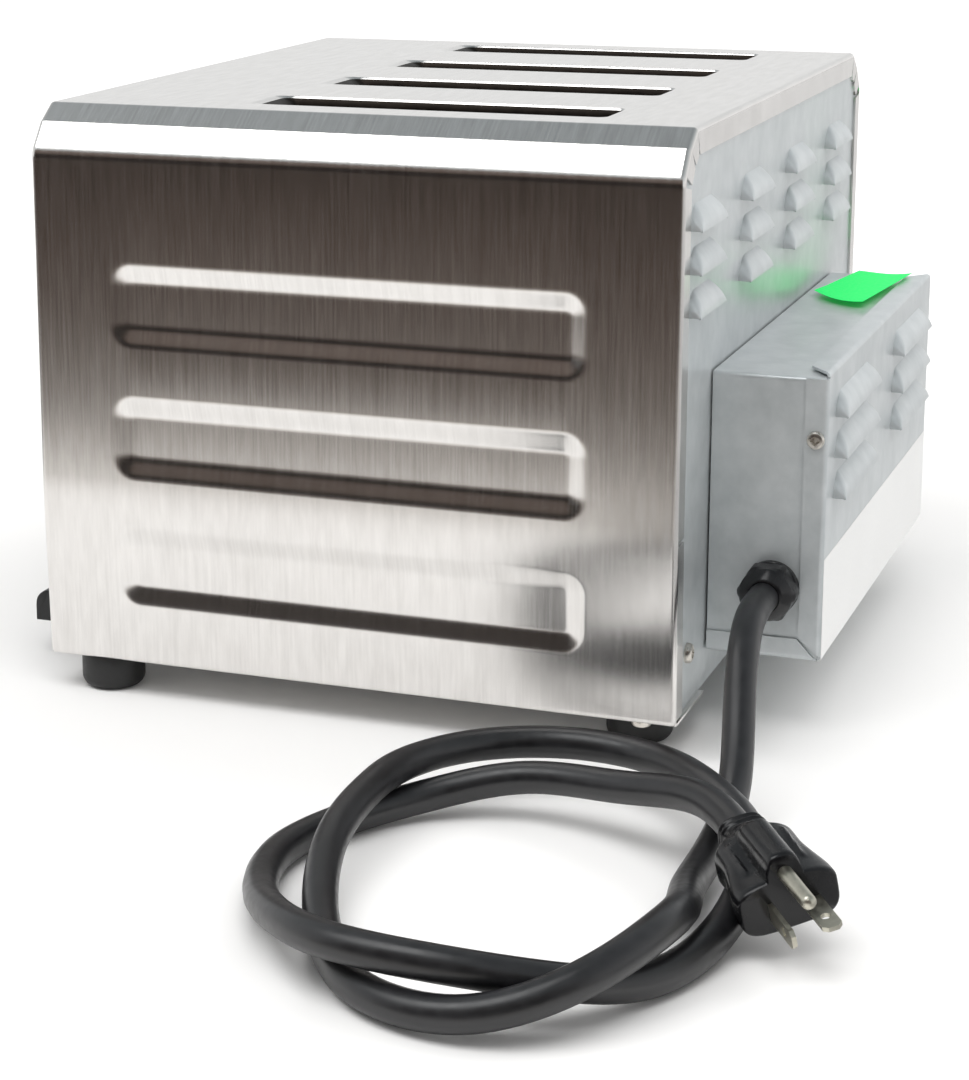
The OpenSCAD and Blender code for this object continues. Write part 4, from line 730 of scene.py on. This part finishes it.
def make_rear_panel():
    """The louvred sheet, held inside the wrap's outline and cut away under the electrical box."""
    def inside(grid):
        limit = np.interp(grid[..., 2], PANEL_HEIGHTS, PANEL_WIDTHS)
        grid[..., 0] = np.clip(grid[..., 0], -limit, limit)
        return grid

    half = np.array([PANEL_WIDTHS[1], PANEL_LINE_X, CUT_HALF])
    patches = louvred_sheet(np.r_[-half, half], np.r_[PANEL_HEIGHTS, CUT_TOP, PANEL_LINE_Z], REAR_COLUMNS,
                            REAR_ROWS, REAR_LOUVRE_L, PANEL_Y,
                            lambda x, z: (np.abs(x) < CUT_HALF) & (z < CUT_TOP), inside)
    return piece("rear_louvred_panel", patches, galvanised, "galvanised_sheet", ["rear_panel"], wall=SHEET,
                 crease=24)


make_rear_panel()

COVER_COLUMNS = np.array([-54.0, 63.0])
COVER_ROWS = np.array([120.5, 105.0, 89.5])
COVER_LINES = [50.0, 70.0]
COVER_R, COVER_STEPS = 1.6, 7
TOP_FLANGE, SIDE_FLANGE, LOW_FLANGE = 9.0, 8.5, 8.0
MITRE = 0.5
# The cover's top flange is cut back at its ends and stands clear of the box, its side flanges end below its
# top, and its plate ends before the rear panel
TOP_TAPER, FLANGE_GAP, SIDE_DROP, PLATE_GAP = 11.0, 1.0, 2.2, 0.8


def bent_strip(edge_a, edge_b, out_a, out_b, reach, radius=COVER_R, taper=(0.0, 0.0)):
    """A flange bent over a radius from a straight edge between two points: out_a is the sheet's own face
    direction and out_b the flange's. taper moves its free corners in along the edge."""
    edge_a, edge_b, out_a, out_b = (np.asarray(v, float) for v in (edge_a, edge_b, out_a, out_b))
    way = (edge_b - edge_a) / np.linalg.norm(edge_b - edge_a)
    rows = []
    for swing in np.radians(np.linspace(0, 90, COVER_STEPS)):
        rows.append(radius * (math.cos(swing) * out_a + math.sin(swing) * out_b - out_a - out_b))
    for far in (radius + FLAT_KEEP, reach):
        rows.append(-far * out_a)
    rows = np.array(rows)
    reached = np.maximum(0.0, -(rows @ out_a))[:, None] / reach
    slid = way * reached
    points = np.stack([edge_a + rows + taper[0] * slid, edge_b + rows - taper[1] * slid], axis=1)
    return patch(points, out_a + out_b)


def make_cover():
    """The louvred rear face, its top and side flanges, and the bottom plate with its low side flanges, mitred
    where they meet."""
    inner = BOX_HALF - COVER_R
    xs = np.r_[-inner, FLAT_KEEP - inner, 0.0, inner - FLAT_KEEP, inner]
    low, top = BOX_LOW + COVER_R, BOX_TOP - COVER_R
    zs = np.r_[low, low + FLAT_KEEP, COVER_LINES, top - FLAT_KEEP, top]
    patches = louvred_sheet(xs, zs, COVER_COLUMNS, COVER_ROWS, COVER_LOUVRE_L, COVER_Y)
    rear, up, down = np.array([0, 1, 0]), np.array([0, 0, 1]), np.array([0, 0, -1])
    front = PANEL_Y + PLATE_GAP
    patches.append(bent_strip([-inner, COVER_Y, BOX_TOP], [inner, COVER_Y, BOX_TOP], rear, up, TOP_FLANGE,
                              taper=(TOP_TAPER, TOP_TAPER)))
    for side in (-1, 1):
        out = np.array([side, 0, 0])
        x = side * BOX_HALF
        patches.append(bent_strip([x, COVER_Y, low], [x, COVER_Y, BOX_TOP - SIDE_DROP], rear, out,
                                  SIDE_FLANGE, taper=(LOW_FLANGE - COVER_R + MITRE, 0.0)))
        patches.append(bent_strip([x, front, BOX_LOW], [x, COVER_Y - COVER_R, BOX_LOW], down, out, LOW_FLANGE,
                                  taper=(0.0, SIDE_FLANGE - COVER_R + MITRE)))
    patches.append(bent_strip([-inner, COVER_Y, BOX_LOW], [inner, COVER_Y, BOX_LOW], rear, down,
                              COVER_Y - front))
    return piece("box_cover_sheet", patches, galvanised, "galvanised_sheet", ["box_cover"], wall=SHEET,
                 crease=24)


make_cover()


# The box's sheet ends just off the panel and the cover, and has two lines between
BOX_ENDS, BOX_LINES = (0.7, 0.2), [140.0, 155.0]
BOX_MIDDLE = np.array([0, 148, 85.0])


def make_box():
    """The box's top and sides as one sheet bent over two corners, between the rear panel and the cover."""
    half, top, low = BOX_HALF - SHEET, BOX_TOP - SHEET - FLANGE_GAP, BOX_LOW + SHEET
    in_x, in_z = half - COVER_R, top - COVER_R
    flat_x, flat_z = in_x - FLAT_KEEP, in_z - FLAT_KEEP
    line = np.vstack([[[half, low], [half, flat_z]], arc_row((in_x, in_z), COVER_R, 0, 90, COVER_STEPS),
                      [[flat_x, top], [-flat_x, top]], arc_row((-in_x, in_z), COVER_R, 90, 180, COVER_STEPS),
                      [[-half, flat_z], [-half, low]]])
    y = np.r_[PANEL_Y + BOX_ENDS[0], BOX_LINES, COVER_Y - SHEET - BOX_ENDS[1]]
    sheet = patch(carried(line, y), lambda mid: (mid - BOX_MIDDLE) * [1, 0, 1])
    return piece("box_sheet", [sheet], galvanised, "galvanised_sheet", ["box_body"], wall=SHEET, crease=24)


make_box()


# Gland, feet and screws

# Places along the gland and its radius there: the stem, the base ring, the gap, the nut and its dome
GLAND_LINE = np.array([
    [-10.0, 0], [-10.0, 8.0], [0, 8.0],
    [0, 10.0], [0.4, 10.4], [2.2, 10.4], [2.6, 10.0],
    [2.7, 8.4], [3.5, 8.4],
    [3.6, 10.6], [4.2, 11.3], [8.4, 11.3], [9.6, 11.0],
    [11.2, 10.0], [12.6, 8.9], [13.6, 7.8], [14.2, 7.1], [14.6, 6.5], [14.75, 6.1], [14.6, 5.6], [12.0, 5.5]])
NUT_FROM, NUT_TO, NUT_FLAT, NUT_SIDES, GLAND_SIDES = 3.55, 12.0, 10.0, 6, 96


def make_gland():
    """A turned gland with a hexagon's flats on its nut: the radius is cut back to the flat at each angle."""
    def flats(along, radius, angle):
        flat = FULL_TURN / NUT_SIDES
        turned = np.mod(angle, flat) - flat / 2
        nut = (along > NUT_FROM) & (along < NUT_TO)
        return along, np.where(nut, np.minimum(radius, NUT_FLAT / np.cos(turned)), radius)

    place = np.array([BOX_HALF - SHEET, *LEAD_ROUTE[0][1:]]) - BODY_SHIFT
    return piece("lead_gland", [lathe(GLAND_LINE, place, [1, 0, 0], GLAND_SIDES, flats)], gloss_black,
                 "gloss_black", ["cord_gland"], crease=22)


make_gland()

FOOT_SPOTS = [(142.0, -106.0), (-142.0, -106.0), (130.0, 107.0), (-130.0, 107.0)]
FOOT_R, FOOT_ROUND, FOOT_TOP, FOOT_BORE, FOOT_STEPS = 12.5, 4.5, 13.95, 2.4, 9
# Heights and radii: the bore and the recess round the screw's head, the rounded lower edge, the side and
# the top
FOOT_LINE = np.vstack([
    [[8.0, FOOT_BORE], [8.0, 5.5], [0.3, 5.5], [0.0, 6.0]],
    arc_row((FOOT_ROUND, FOOT_R - FOOT_ROUND), FOOT_ROUND, 180, 90, FOOT_STEPS),
    [[9.0, FOOT_R], [13.4, FOOT_R], [FOOT_TOP, 12.2], [FOOT_TOP, FOOT_BORE]]])


def make_feet():
    """Four turned rubber feet."""
    turned = [lathe(FOOT_LINE, [x, y, 0], [0, 0, 1]) for x, y in FOOT_SPOTS]
    return piece("rubber_feet", turned, foot_rubber, "foot_rubber", ["feet"], crease=40)


make_feet()


# A pan head's line, as shares of its height and radius, from the middle of its top to its seat
HEAD_LINE = np.array([[1, 0], [1, 0.08], [1, 0.16], [1, 0.2], [1, 0.45], [1, 0.52], [0.97, 0.68],
                      [0.86, 0.85], [0.6, 0.97], [0.3, 1], [0, 1]])
# The cross recess, as shares of the head's radius and height: half an arm's width and its reach, the height
# above which it is sunk, and its depth
CROSS_HALF, CROSS_REACH, CROSS_FROM, CROSS_DEEP, SCREW_SIDES = 0.13, 0.5, 0.5, 0.55, 64
# Diameters of the shank and the head, the head's height and the shank's length
PAN_SCREW, COVER_SCREW = (4.0, 7.5, 2.4, 6.0), (3.0, 6.6, 2.0, 6.0)
PANEL_SCREW_X, PANEL_SCREW_Z, BOTTOM_SCREW_X, BOTTOM_SCREW_Y = 137.0, 37.0, 150.0, 113.0
COVER_SCREW_IN, COVER_SCREW_Z = 4.25, 114.5


def cross_screw(place, axis, shank_d, head_d, head_h, shank_l):
    """A pan-head screw with a cross recess: a turned profile whose top is sunk where the angle and the radius
    lie in either arm of the cross. axis points out of the head."""
    r = head_d / 2
    shank = [[0.0, shank_d / 2], [-shank_l, shank_d / 2], [-shank_l, 0.0]]

    def recess(along, radius, angle):
        across = np.minimum(np.abs(radius * np.cos(angle)), np.abs(radius * np.sin(angle)))
        sunk = (across < CROSS_HALF * r) & (radius < CROSS_REACH * r) & (along > CROSS_FROM * head_h)
        return np.where(sunk, along - CROSS_DEEP * head_h, along), radius

    return lathe(np.vstack([HEAD_LINE * [head_h, r], shank]), place, axis, SCREW_SIDES, recess)


def make_screws():
    """The three sets of screws, each in the place of its CAD node."""
    ends = (-1, 1)
    sets = {
        "panel": [([x * PANEL_SCREW_X, y * PANEL_Y, PANEL_SCREW_Z], [0, y, 0], *PAN_SCREW)
                  for x in ends for y in ends],
        "bottom": [([x * BOTTOM_SCREW_X, BOTTOM_SCREW_Y, LOW_Z], [0, 0, -1], *PAN_SCREW) for x in ends],
        "cover": [([x * BOX_HALF, COVER_Y - COVER_SCREW_IN, COVER_SCREW_Z], [x, 0, 0], *COVER_SCREW)
                  for x in ends],
    }
    for name, screws in sets.items():
        piece(f"{name}_screw_set", [cross_screw(*screw) for screw in screws], screw_steel, "screw_steel",
              [f"{name}_screws"], crease=30)


make_screws()


# Paper: a bare label on the cover and a green sticker that lifts at its outer edge

PAPER_LINES = 13
LABEL_W, LABEL_H, LABEL_LOW, LABEL_LIFT, LABEL_WALL = 218.0, 38.4, 30.6, 0.12, 0.1
STICKER_CORNERS = np.array([[-50, 131, 0], [-105, 139.5, 0], [-28, 155.6, 0], [-96, 164, 0]], float)
STICKER_BULGE, STICKER_LIFT, STICKER_WALL = 5.0, 0.18, 0.15
# The sticker's edge curls from CURL_FROM across it, more towards its far end, and one corner stands up
# a little
CURL_H, CURL_FROM, CURL_NEAR, CURL_MORE = 3.2, 0.35, 0.7, 0.6
CORNER_H, CORNER_FROM = 1.6, 0.25


def make_papers():
    """Two thin sheets: a flat rectangle, and a four-cornered sheet whose outer edge rises as the square of
    the distance across it."""
    share = np.linspace(0, 1, PAPER_LINES)
    u, v = np.meshgrid(share, share, indexing="ij")
    label = np.stack([LABEL_W * (u - 0.5), COVER_Y + LABEL_LIFT + 0 * u, LABEL_LOW + LABEL_H * v], axis=-1)
    piece("bare_label", [patch(label, [0, 1, 0])], paper, "terminal_plastic", wall=LABEL_WALL)
    weights = np.stack([(1 - u) * (1 - v), u * (1 - v), (1 - u) * v, u * v], axis=-1)
    spot = weights @ STICKER_CORNERS
    spot[..., 0] += STICKER_BULGE * 4 * v * (1 - v) * (1 - u) ** 2
    curl = CURL_H * np.clip(v - CURL_FROM, 0, 1) ** 2 * (CURL_NEAR + CURL_MORE * u)
    corner = CORNER_H * np.clip(CORNER_FROM - u, 0, 1) * (1 - v)
    spot[..., 2] = BOX_TOP + STICKER_LIFT + curl + corner
    piece("green_sticker", [patch(spot, [0, 0, 1])], green_paper, "terminal_plastic", wall=STICKER_WALL)


make_papers()


# Lift springs

SPRING_TURNS, SPRING_R, WIRE_R, TURN_STEPS, WIRE_SIDES = 11, 4.7, 0.7, 32, 8
SPRING_X, SPRING_Y, SPRING_LOW, SPRING_HIGH = 73.0, -80.0, 30.9, 137.1


def make_spring(side, hand):
    """A round wire along a helix that the lift squeezes towards its seat."""
    t = np.linspace(0, 1, SPRING_TURNS * TURN_STEPS + 1)
    swing = FULL_TURN * SPRING_TURNS * t
    out = np.stack([np.cos(swing), np.sin(swing), 0 * swing], axis=1)
    path = SPRING_R * out + np.array([hand * SPRING_X, SPRING_Y, 0.0])
    path[:, 2] = SPRING_LOW + (SPRING_HIGH - SPRING_LOW) * t
    ahead = np.gradient(path, axis=0)
    ahead /= np.linalg.norm(ahead, axis=1)[:, None]
    up = np.cross(ahead, out)
    angle = np.linspace(0, FULL_TURN, WIRE_SIDES + 1)
    ring = np.cos(angle)[None, :, None] * out[:, None] + np.sin(angle)[None, :, None] * up[:, None]
    points = path[:, None] + WIRE_R * ring
    points[:, -1] = points[:, 0]

    def outward(mid):
        near = (path[:-1] + path[1:]) / 2
        return mid - np.repeat(near, WIRE_SIDES, axis=0)

    caps = [cap(points[i], path[i], ahead[i] * sign) for i, sign in ((0, -1), (-1, 1))]
    spring = piece(f"{side}_lift_coil", [patch(points, outward)] + caps, screw_steel, "screw_steel",
                   [f"{side}_lift_spring"])
    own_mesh(spring)


make_spring("right", 1)
make_spring("left", -1)


# Moulded pieces from the CAD shapes, with their edges rounded

# Bevels of the pull and the levers, and of the dials, and the metres at which a copy's points are joined
GRIP_BEVEL, DIAL_BEVEL, COPY_WELD = 0.8, 0.5, 1e-6


def rounded_copy(node, name, body, width):
    """A welded copy of a CAD node in black plastic whose edges a bevel rounds."""
    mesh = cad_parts[node].data.copy()
    mesh.name = name
    weld(mesh, COPY_WELD)
    settle(bpy.data.objects.new(name, mesh), satin_black, "black_plastic", [node], body, bevel=width)


rounded_copy("tray_pull", "tray_handle", "tray", GRIP_BEVEL)
for side in ("right", "left"):
    rounded_copy(f"{side}_lever_knob", f"{side}_lever_grip", f"{side}_lift", GRIP_BEVEL)
    rounded_copy(f"{side}_browning_knob", f"{side}_browning_dial", f"{side}_dial", DIAL_BEVEL)


# Browning dials: a pointer on each knob, and ticks on the panel that grow with the setting

DIAL_X, DIAL_Z, DIAL_FACE, FRONT_FACE = 38.0, 62.0, -146.0, -126.0
DIAL_START, DIAL_SWEEP, DIAL_TICKS = -45.0, 270.0, 7
MARK_LIFT = 0.08
TICK_SPAN, TICK_W, POINTER_SPAN, POINTER_W = (18.5, 22.5), (0.8, 2.0), (3.5, 11.0), 1.8


def stripe(middle_x, face, angle, inner, outer, width):
    """A flat mark on a face towards -Y: a strip along the ray at that angle, between two radii."""
    ray = np.array([math.cos(angle), 0, math.sin(angle)])
    side = np.array([-math.sin(angle), 0, math.cos(angle)]) * width / 2
    middle = np.array([middle_x, face - MARK_LIFT, DIAL_Z])
    points = np.array([[middle + r * ray + s * side for s in (-1, 1)] for r in (inner, outer)])
    return patch(points, [0, -1, 0])


def make_marks():
    """The scale's ticks on the front panel and a pointer that turns with each knob."""
    turns = np.radians(DIAL_START + DIAL_SWEEP * np.linspace(0, 1, DIAL_TICKS))
    widths = np.linspace(*TICK_W, DIAL_TICKS)
    ticks = [stripe(x, FRONT_FACE, a, *TICK_SPAN, w)
             for x in (DIAL_X, -DIAL_X) for a, w in zip(turns, widths)]
    piece("dial_scale", ticks, black_ink, "black_plastic")
    for side, x in (("right", DIAL_X), ("left", -DIAL_X)):
        line = stripe(x, DIAL_FACE, turns[0], *POINTER_SPAN, POINTER_W)
        piece(f"{side}_pointer", [line], white_ink, "terminal_plastic", body=f"{side}_dial")


make_marks()


# Finishes of the CAD nodes that stay

NODE_FINISHES = {
    brushed_front: ["front_panel"],
    galvanised: ["base_pan", "crumb_tray"],
    inner_steel: ["front_bulkhead", "rear_bulkhead", "side_shields", "mechanism_shelf", "rod_brackets",
                  "right_carriage", "left_carriage", "right_armature", "left_armature"],
    guard_wire: ["bread_guards", "right_bread_racks", "left_bread_racks"],
    screw_steel: ["guide_rods", "browning_pots", "foot_screws"],
    mica: ["heater_cards"],
    ribbon: ["heater_ribbons"],
    winding: ["latch_magnets"],
    circuit: ["control_board", "power_board"],
    brass: ["board_standoffs", "plug_blades", "plug_ground_pin"],
    terminal: ["terminal_block", "board_spacers"],
    gloss_black: ["gland_locknut"],
}
for finish_of, nodes in NODE_FINISHES.items():
    for node in nodes:
        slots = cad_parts[node].data.materials
        slots.clear()
        slots.append(finish_of)


# Stage: floor, cards, sky and lamps, in metres

FLOOR_REACH, FLOOR_TONE = 14.0, (0.90, 0.895, 0.885, 1)
# The floor's glow grows from near to far between two distances from the object's middle
FLOOR_MIDDLE, WHITE_FROM, WHITE_TO = (0.08, 0.03, 0.0), 0.30, 1.2
NEAR_GLOW, FAR_GLOW, GLOW_MIRRORED = 0.02, 0.45, 0.2
# Sockets of a colour Mix node
MIX_A, MIX_B, MIX_OUT = 6, 7, 2


def ray_kinds(tree, mirrored=1.0):
    """1 for camera rays, mirrored for glossy and transmission rays, 0 for the others."""
    path = add_node(tree, "LightPath")
    bent = add_node(tree, "Math", {0: (path, "Is Glossy Ray"), 1: (path, "Is Transmission Ray")},
                    operation="MAXIMUM")
    both = add_node(tree, "Math", {0: (bent, "Value"), 1: mirrored, 2: (path, "Is Camera Ray")},
                    operation="MULTIPLY_ADD")
    return both, "Value"


def stage_sheet(name, points, material):
    """A sheet of the stage from a grid of frame metres."""
    mesh = bpy.data.meshes.new(name)
    mesh.from_pydata(points.reshape(-1, 3).tolist(), [], cells_of(*points.shape[:2]).tolist())
    mesh.polygons.foreach_set("use_smooth", np.ones(len(mesh.polygons), bool))
    mesh.materials.append(material)
    sheet = bpy.data.objects.new(name, mesh)
    scene.collection.objects.link(sheet)
    return sheet


def make_floor():
    """A pale floor that takes shadows near the object and fades to plain white away from it."""
    material, tree = blank_material("pale_floor")
    tree.nodes.clear()
    coords = add_node(tree, "TexCoord")
    apart = add_node(tree, "VectorMath", {0: (coords, "Object"), 1: FLOOR_MIDDLE}, operation="DISTANCE")
    fade = add_node(tree, "MapRange", {
        "Value": (apart, "Value"), "From Min": WHITE_FROM, "From Max": WHITE_TO, "To Min": NEAR_GLOW,
        "To Max": FAR_GLOW}, interpolation_type="SMOOTHSTEP")
    seen = add_node(tree, "Math", {0: (fade, "Result"), 1: ray_kinds(tree, GLOW_MIRRORED)},
                    operation="MULTIPLY")
    matt = add_node(tree, "BsdfDiffuse", {"Color": FLOOR_TONE})
    glow = add_node(tree, "Emission", {"Color": WHITE, "Strength": (seen, "Value")})
    both = add_node(tree, "AddShader", {0: (matt, "BSDF"), 1: (glow, "Emission")})
    add_node(tree, "OutputMaterial", {"Surface": (both, "Shader")})
    reach = np.array([-FLOOR_REACH, FLOOR_REACH])
    stage_sheet("floor", carried(pairs(reach, 0.0), reach), material)


def reflection_card(name, line, y_span, x_span, stops):
    """A card seen only in reflections: a line of (x, z) points carried along Y, with tones over x_span."""
    material, tree = blank_material(name)
    tree.nodes.clear()
    coords = add_node(tree, "TexCoord")
    axes = add_node(tree, "SeparateXYZ", {"Vector": (coords, "Object")})
    share = add_node(tree, "MapRange", {"Value": (axes, "X"), "From Min": x_span[0], "From Max": x_span[1]})
    glow = add_node(tree, "Emission", {"Color": tone_ramp(tree, (share, "Result"), stops)})
    add_node(tree, "OutputMaterial", {"Surface": (glow, "Emission")})
    card = stage_sheet(name, carried(line, np.array(y_span)), material)
    for ray in ("camera", "diffuse", "shadow", "transmission"):
        setattr(card, f"visible_{ray}", False)


# The dark card lies on the floor to the right and curves up, and a brown one stands over its edge
CARD_LIFT, CARD_SPAN, CARD_WIDE = 0.0015, (0.42, 1.75), (-3.0, 3.0)
CARD_TURN, CARD_EDGE, CARD_TOP = 0.55, 0.865, 1.9
CARD_STEPS, CURVE_STEPS = 24, 10
DARK_STOPS = [(0.0, (1.0, 0.97, 0.93)), (0.045, (0.80, 0.76, 0.71)), (0.10, (0.17, 0.15, 0.135)),
              (0.21, (0.095, 0.073, 0.061)), (0.40, (0.084, 0.058, 0.046)), (0.75, (0.042, 0.029, 0.023)),
              (1.0, (0.014, 0.010, 0.008))]
BROWN_STOPS = [(end, (0.115, 0.084, 0.068)) for end in (0.0, 1.0)]
# The grey card lies behind the object, and the rear flanges and panels mirror it
GREY_SPAN, GREY_DEPTH = (-2.5, 0.8), (0.22, 2.5)
GREY_STOPS = [(0.0, (0.80, 0.80, 0.80)), (0.485, (0.76, 0.755, 0.75)), (0.667, (0.64, 0.64, 0.64)),
              (0.758, (0.56, 0.56, 0.56)), (1.0, (0.50, 0.50, 0.50))]
# The side card lies over the dark one's front corner, and the top pressing's right end mirrors it
SIDE_LIFT, SIDE_SPAN, SIDE_DEPTH = 0.003, (0.10, 0.62), (-2.5, -0.48)
SIDE_STOPS = [(end, (0.20, 0.19, 0.185)) for end in (0.0, 1.0)]


def make_cards():
    """The four cards."""
    curve = arc_row((CARD_SPAN[1], CARD_TURN), CARD_TURN, -90, 0, CURVE_STEPS)[1:]
    edge = CARD_SPAN[1] + CARD_TURN
    dark = np.vstack([pairs(np.linspace(*CARD_SPAN, CARD_STEPS), CARD_LIFT), curve, [[edge, CARD_EDGE]]])
    reflection_card("dark_card", dark, CARD_WIDE, CARD_SPAN, DARK_STOPS)
    reflection_card("brown_card", pairs(edge, [CARD_EDGE, CARD_TOP]), CARD_WIDE, CARD_SPAN, BROWN_STOPS)
    reflection_card("grey_card", pairs(GREY_SPAN, CARD_LIFT), GREY_DEPTH, GREY_SPAN, GREY_STOPS)
    reflection_card("side_card", pairs(SIDE_SPAN, SIDE_LIFT), SIDE_DEPTH, SIDE_SPAN, SIDE_STOPS)


# Tones by height: of the sky in reflections, and of the fill light
SKY_STOPS = [(0.0, (1.0, 1.0, 1.0)), (0.10, (0.92, 0.925, 0.925)), (0.30, (0.79, 0.805, 0.81)),
             (0.62, (0.50, 0.535, 0.55)), (1.0, (0.215, 0.245, 0.26))]
FILL_STOPS = [(0.0, (0.08, 0.08, 0.08)), (1.0, (1.0, 1.0, 1.0))]


def make_world():
    """Plain white for camera rays, a sky that darkens overhead for reflections, and a fill from above for
    all else."""
    world = bpy.data.worlds.new("studio")
    scene.world = world
    world.use_nodes = True
    tree = world.node_tree
    axes = add_node(tree, "SeparateXYZ", {"Vector": (add_node(tree, "TexCoord"), "Generated")})
    mirrored = add_node(tree, "Mix", {
        "Factor": ray_kinds(tree), MIX_A: tone_ramp(tree, (axes, "Z"), FILL_STOPS),
        MIX_B: tone_ramp(tree, (axes, "Z"), SKY_STOPS)}, data_type="RGBA")
    seen = add_node(tree, "Mix", {
        "Factor": (add_node(tree, "LightPath"), "Is Camera Ray"), MIX_A: (mirrored, MIX_OUT),
        MIX_B: WHITE}, data_type="RGBA")
    feed(tree, tree.nodes["Background"], {"Color": (seen, MIX_OUT)})


# Each lamp's place, aim, two sizes and power
LAMPS = {
    "overhead_box": ((1.0, -0.9, 1.95), (0.9, -0.9, 0.0), (2.0, 1.1), 22.8),
    "overhead_fill": ((1.0, 0.55, 1.95), (0.9, 0.55, 0.0), (0.9, 1.1), 10.2),
    "side_fill": ((-1.4, 1.6, 1.9), (0.0, 0.0, 0.1), (1.6, 1.6), 22.0),
}


def make_lamps():
    """Rectangular lamps that look from their place to their aim. The fills don't show in reflections."""
    for name, (place, aim, size, power) in LAMPS.items():
        data = bpy.data.lights.new(name, "AREA")
        data.shape = "RECTANGLE"
        data.size, data.size_y = size
        data.energy = power
        lamp = bpy.data.objects.new(name, data)
        lamp.location = place
        lamp.rotation_mode = "QUATERNION"
        lamp.rotation_quaternion = (Vector(aim) - Vector(place)).to_track_quat("-Z", "Y")
        lamp.visible_glossy = not name.endswith("fill")
        scene.collection.objects.link(lamp)


make_floor()
make_cards()
make_world()
make_lamps()
scene.view_settings.view_transform = "Standard"
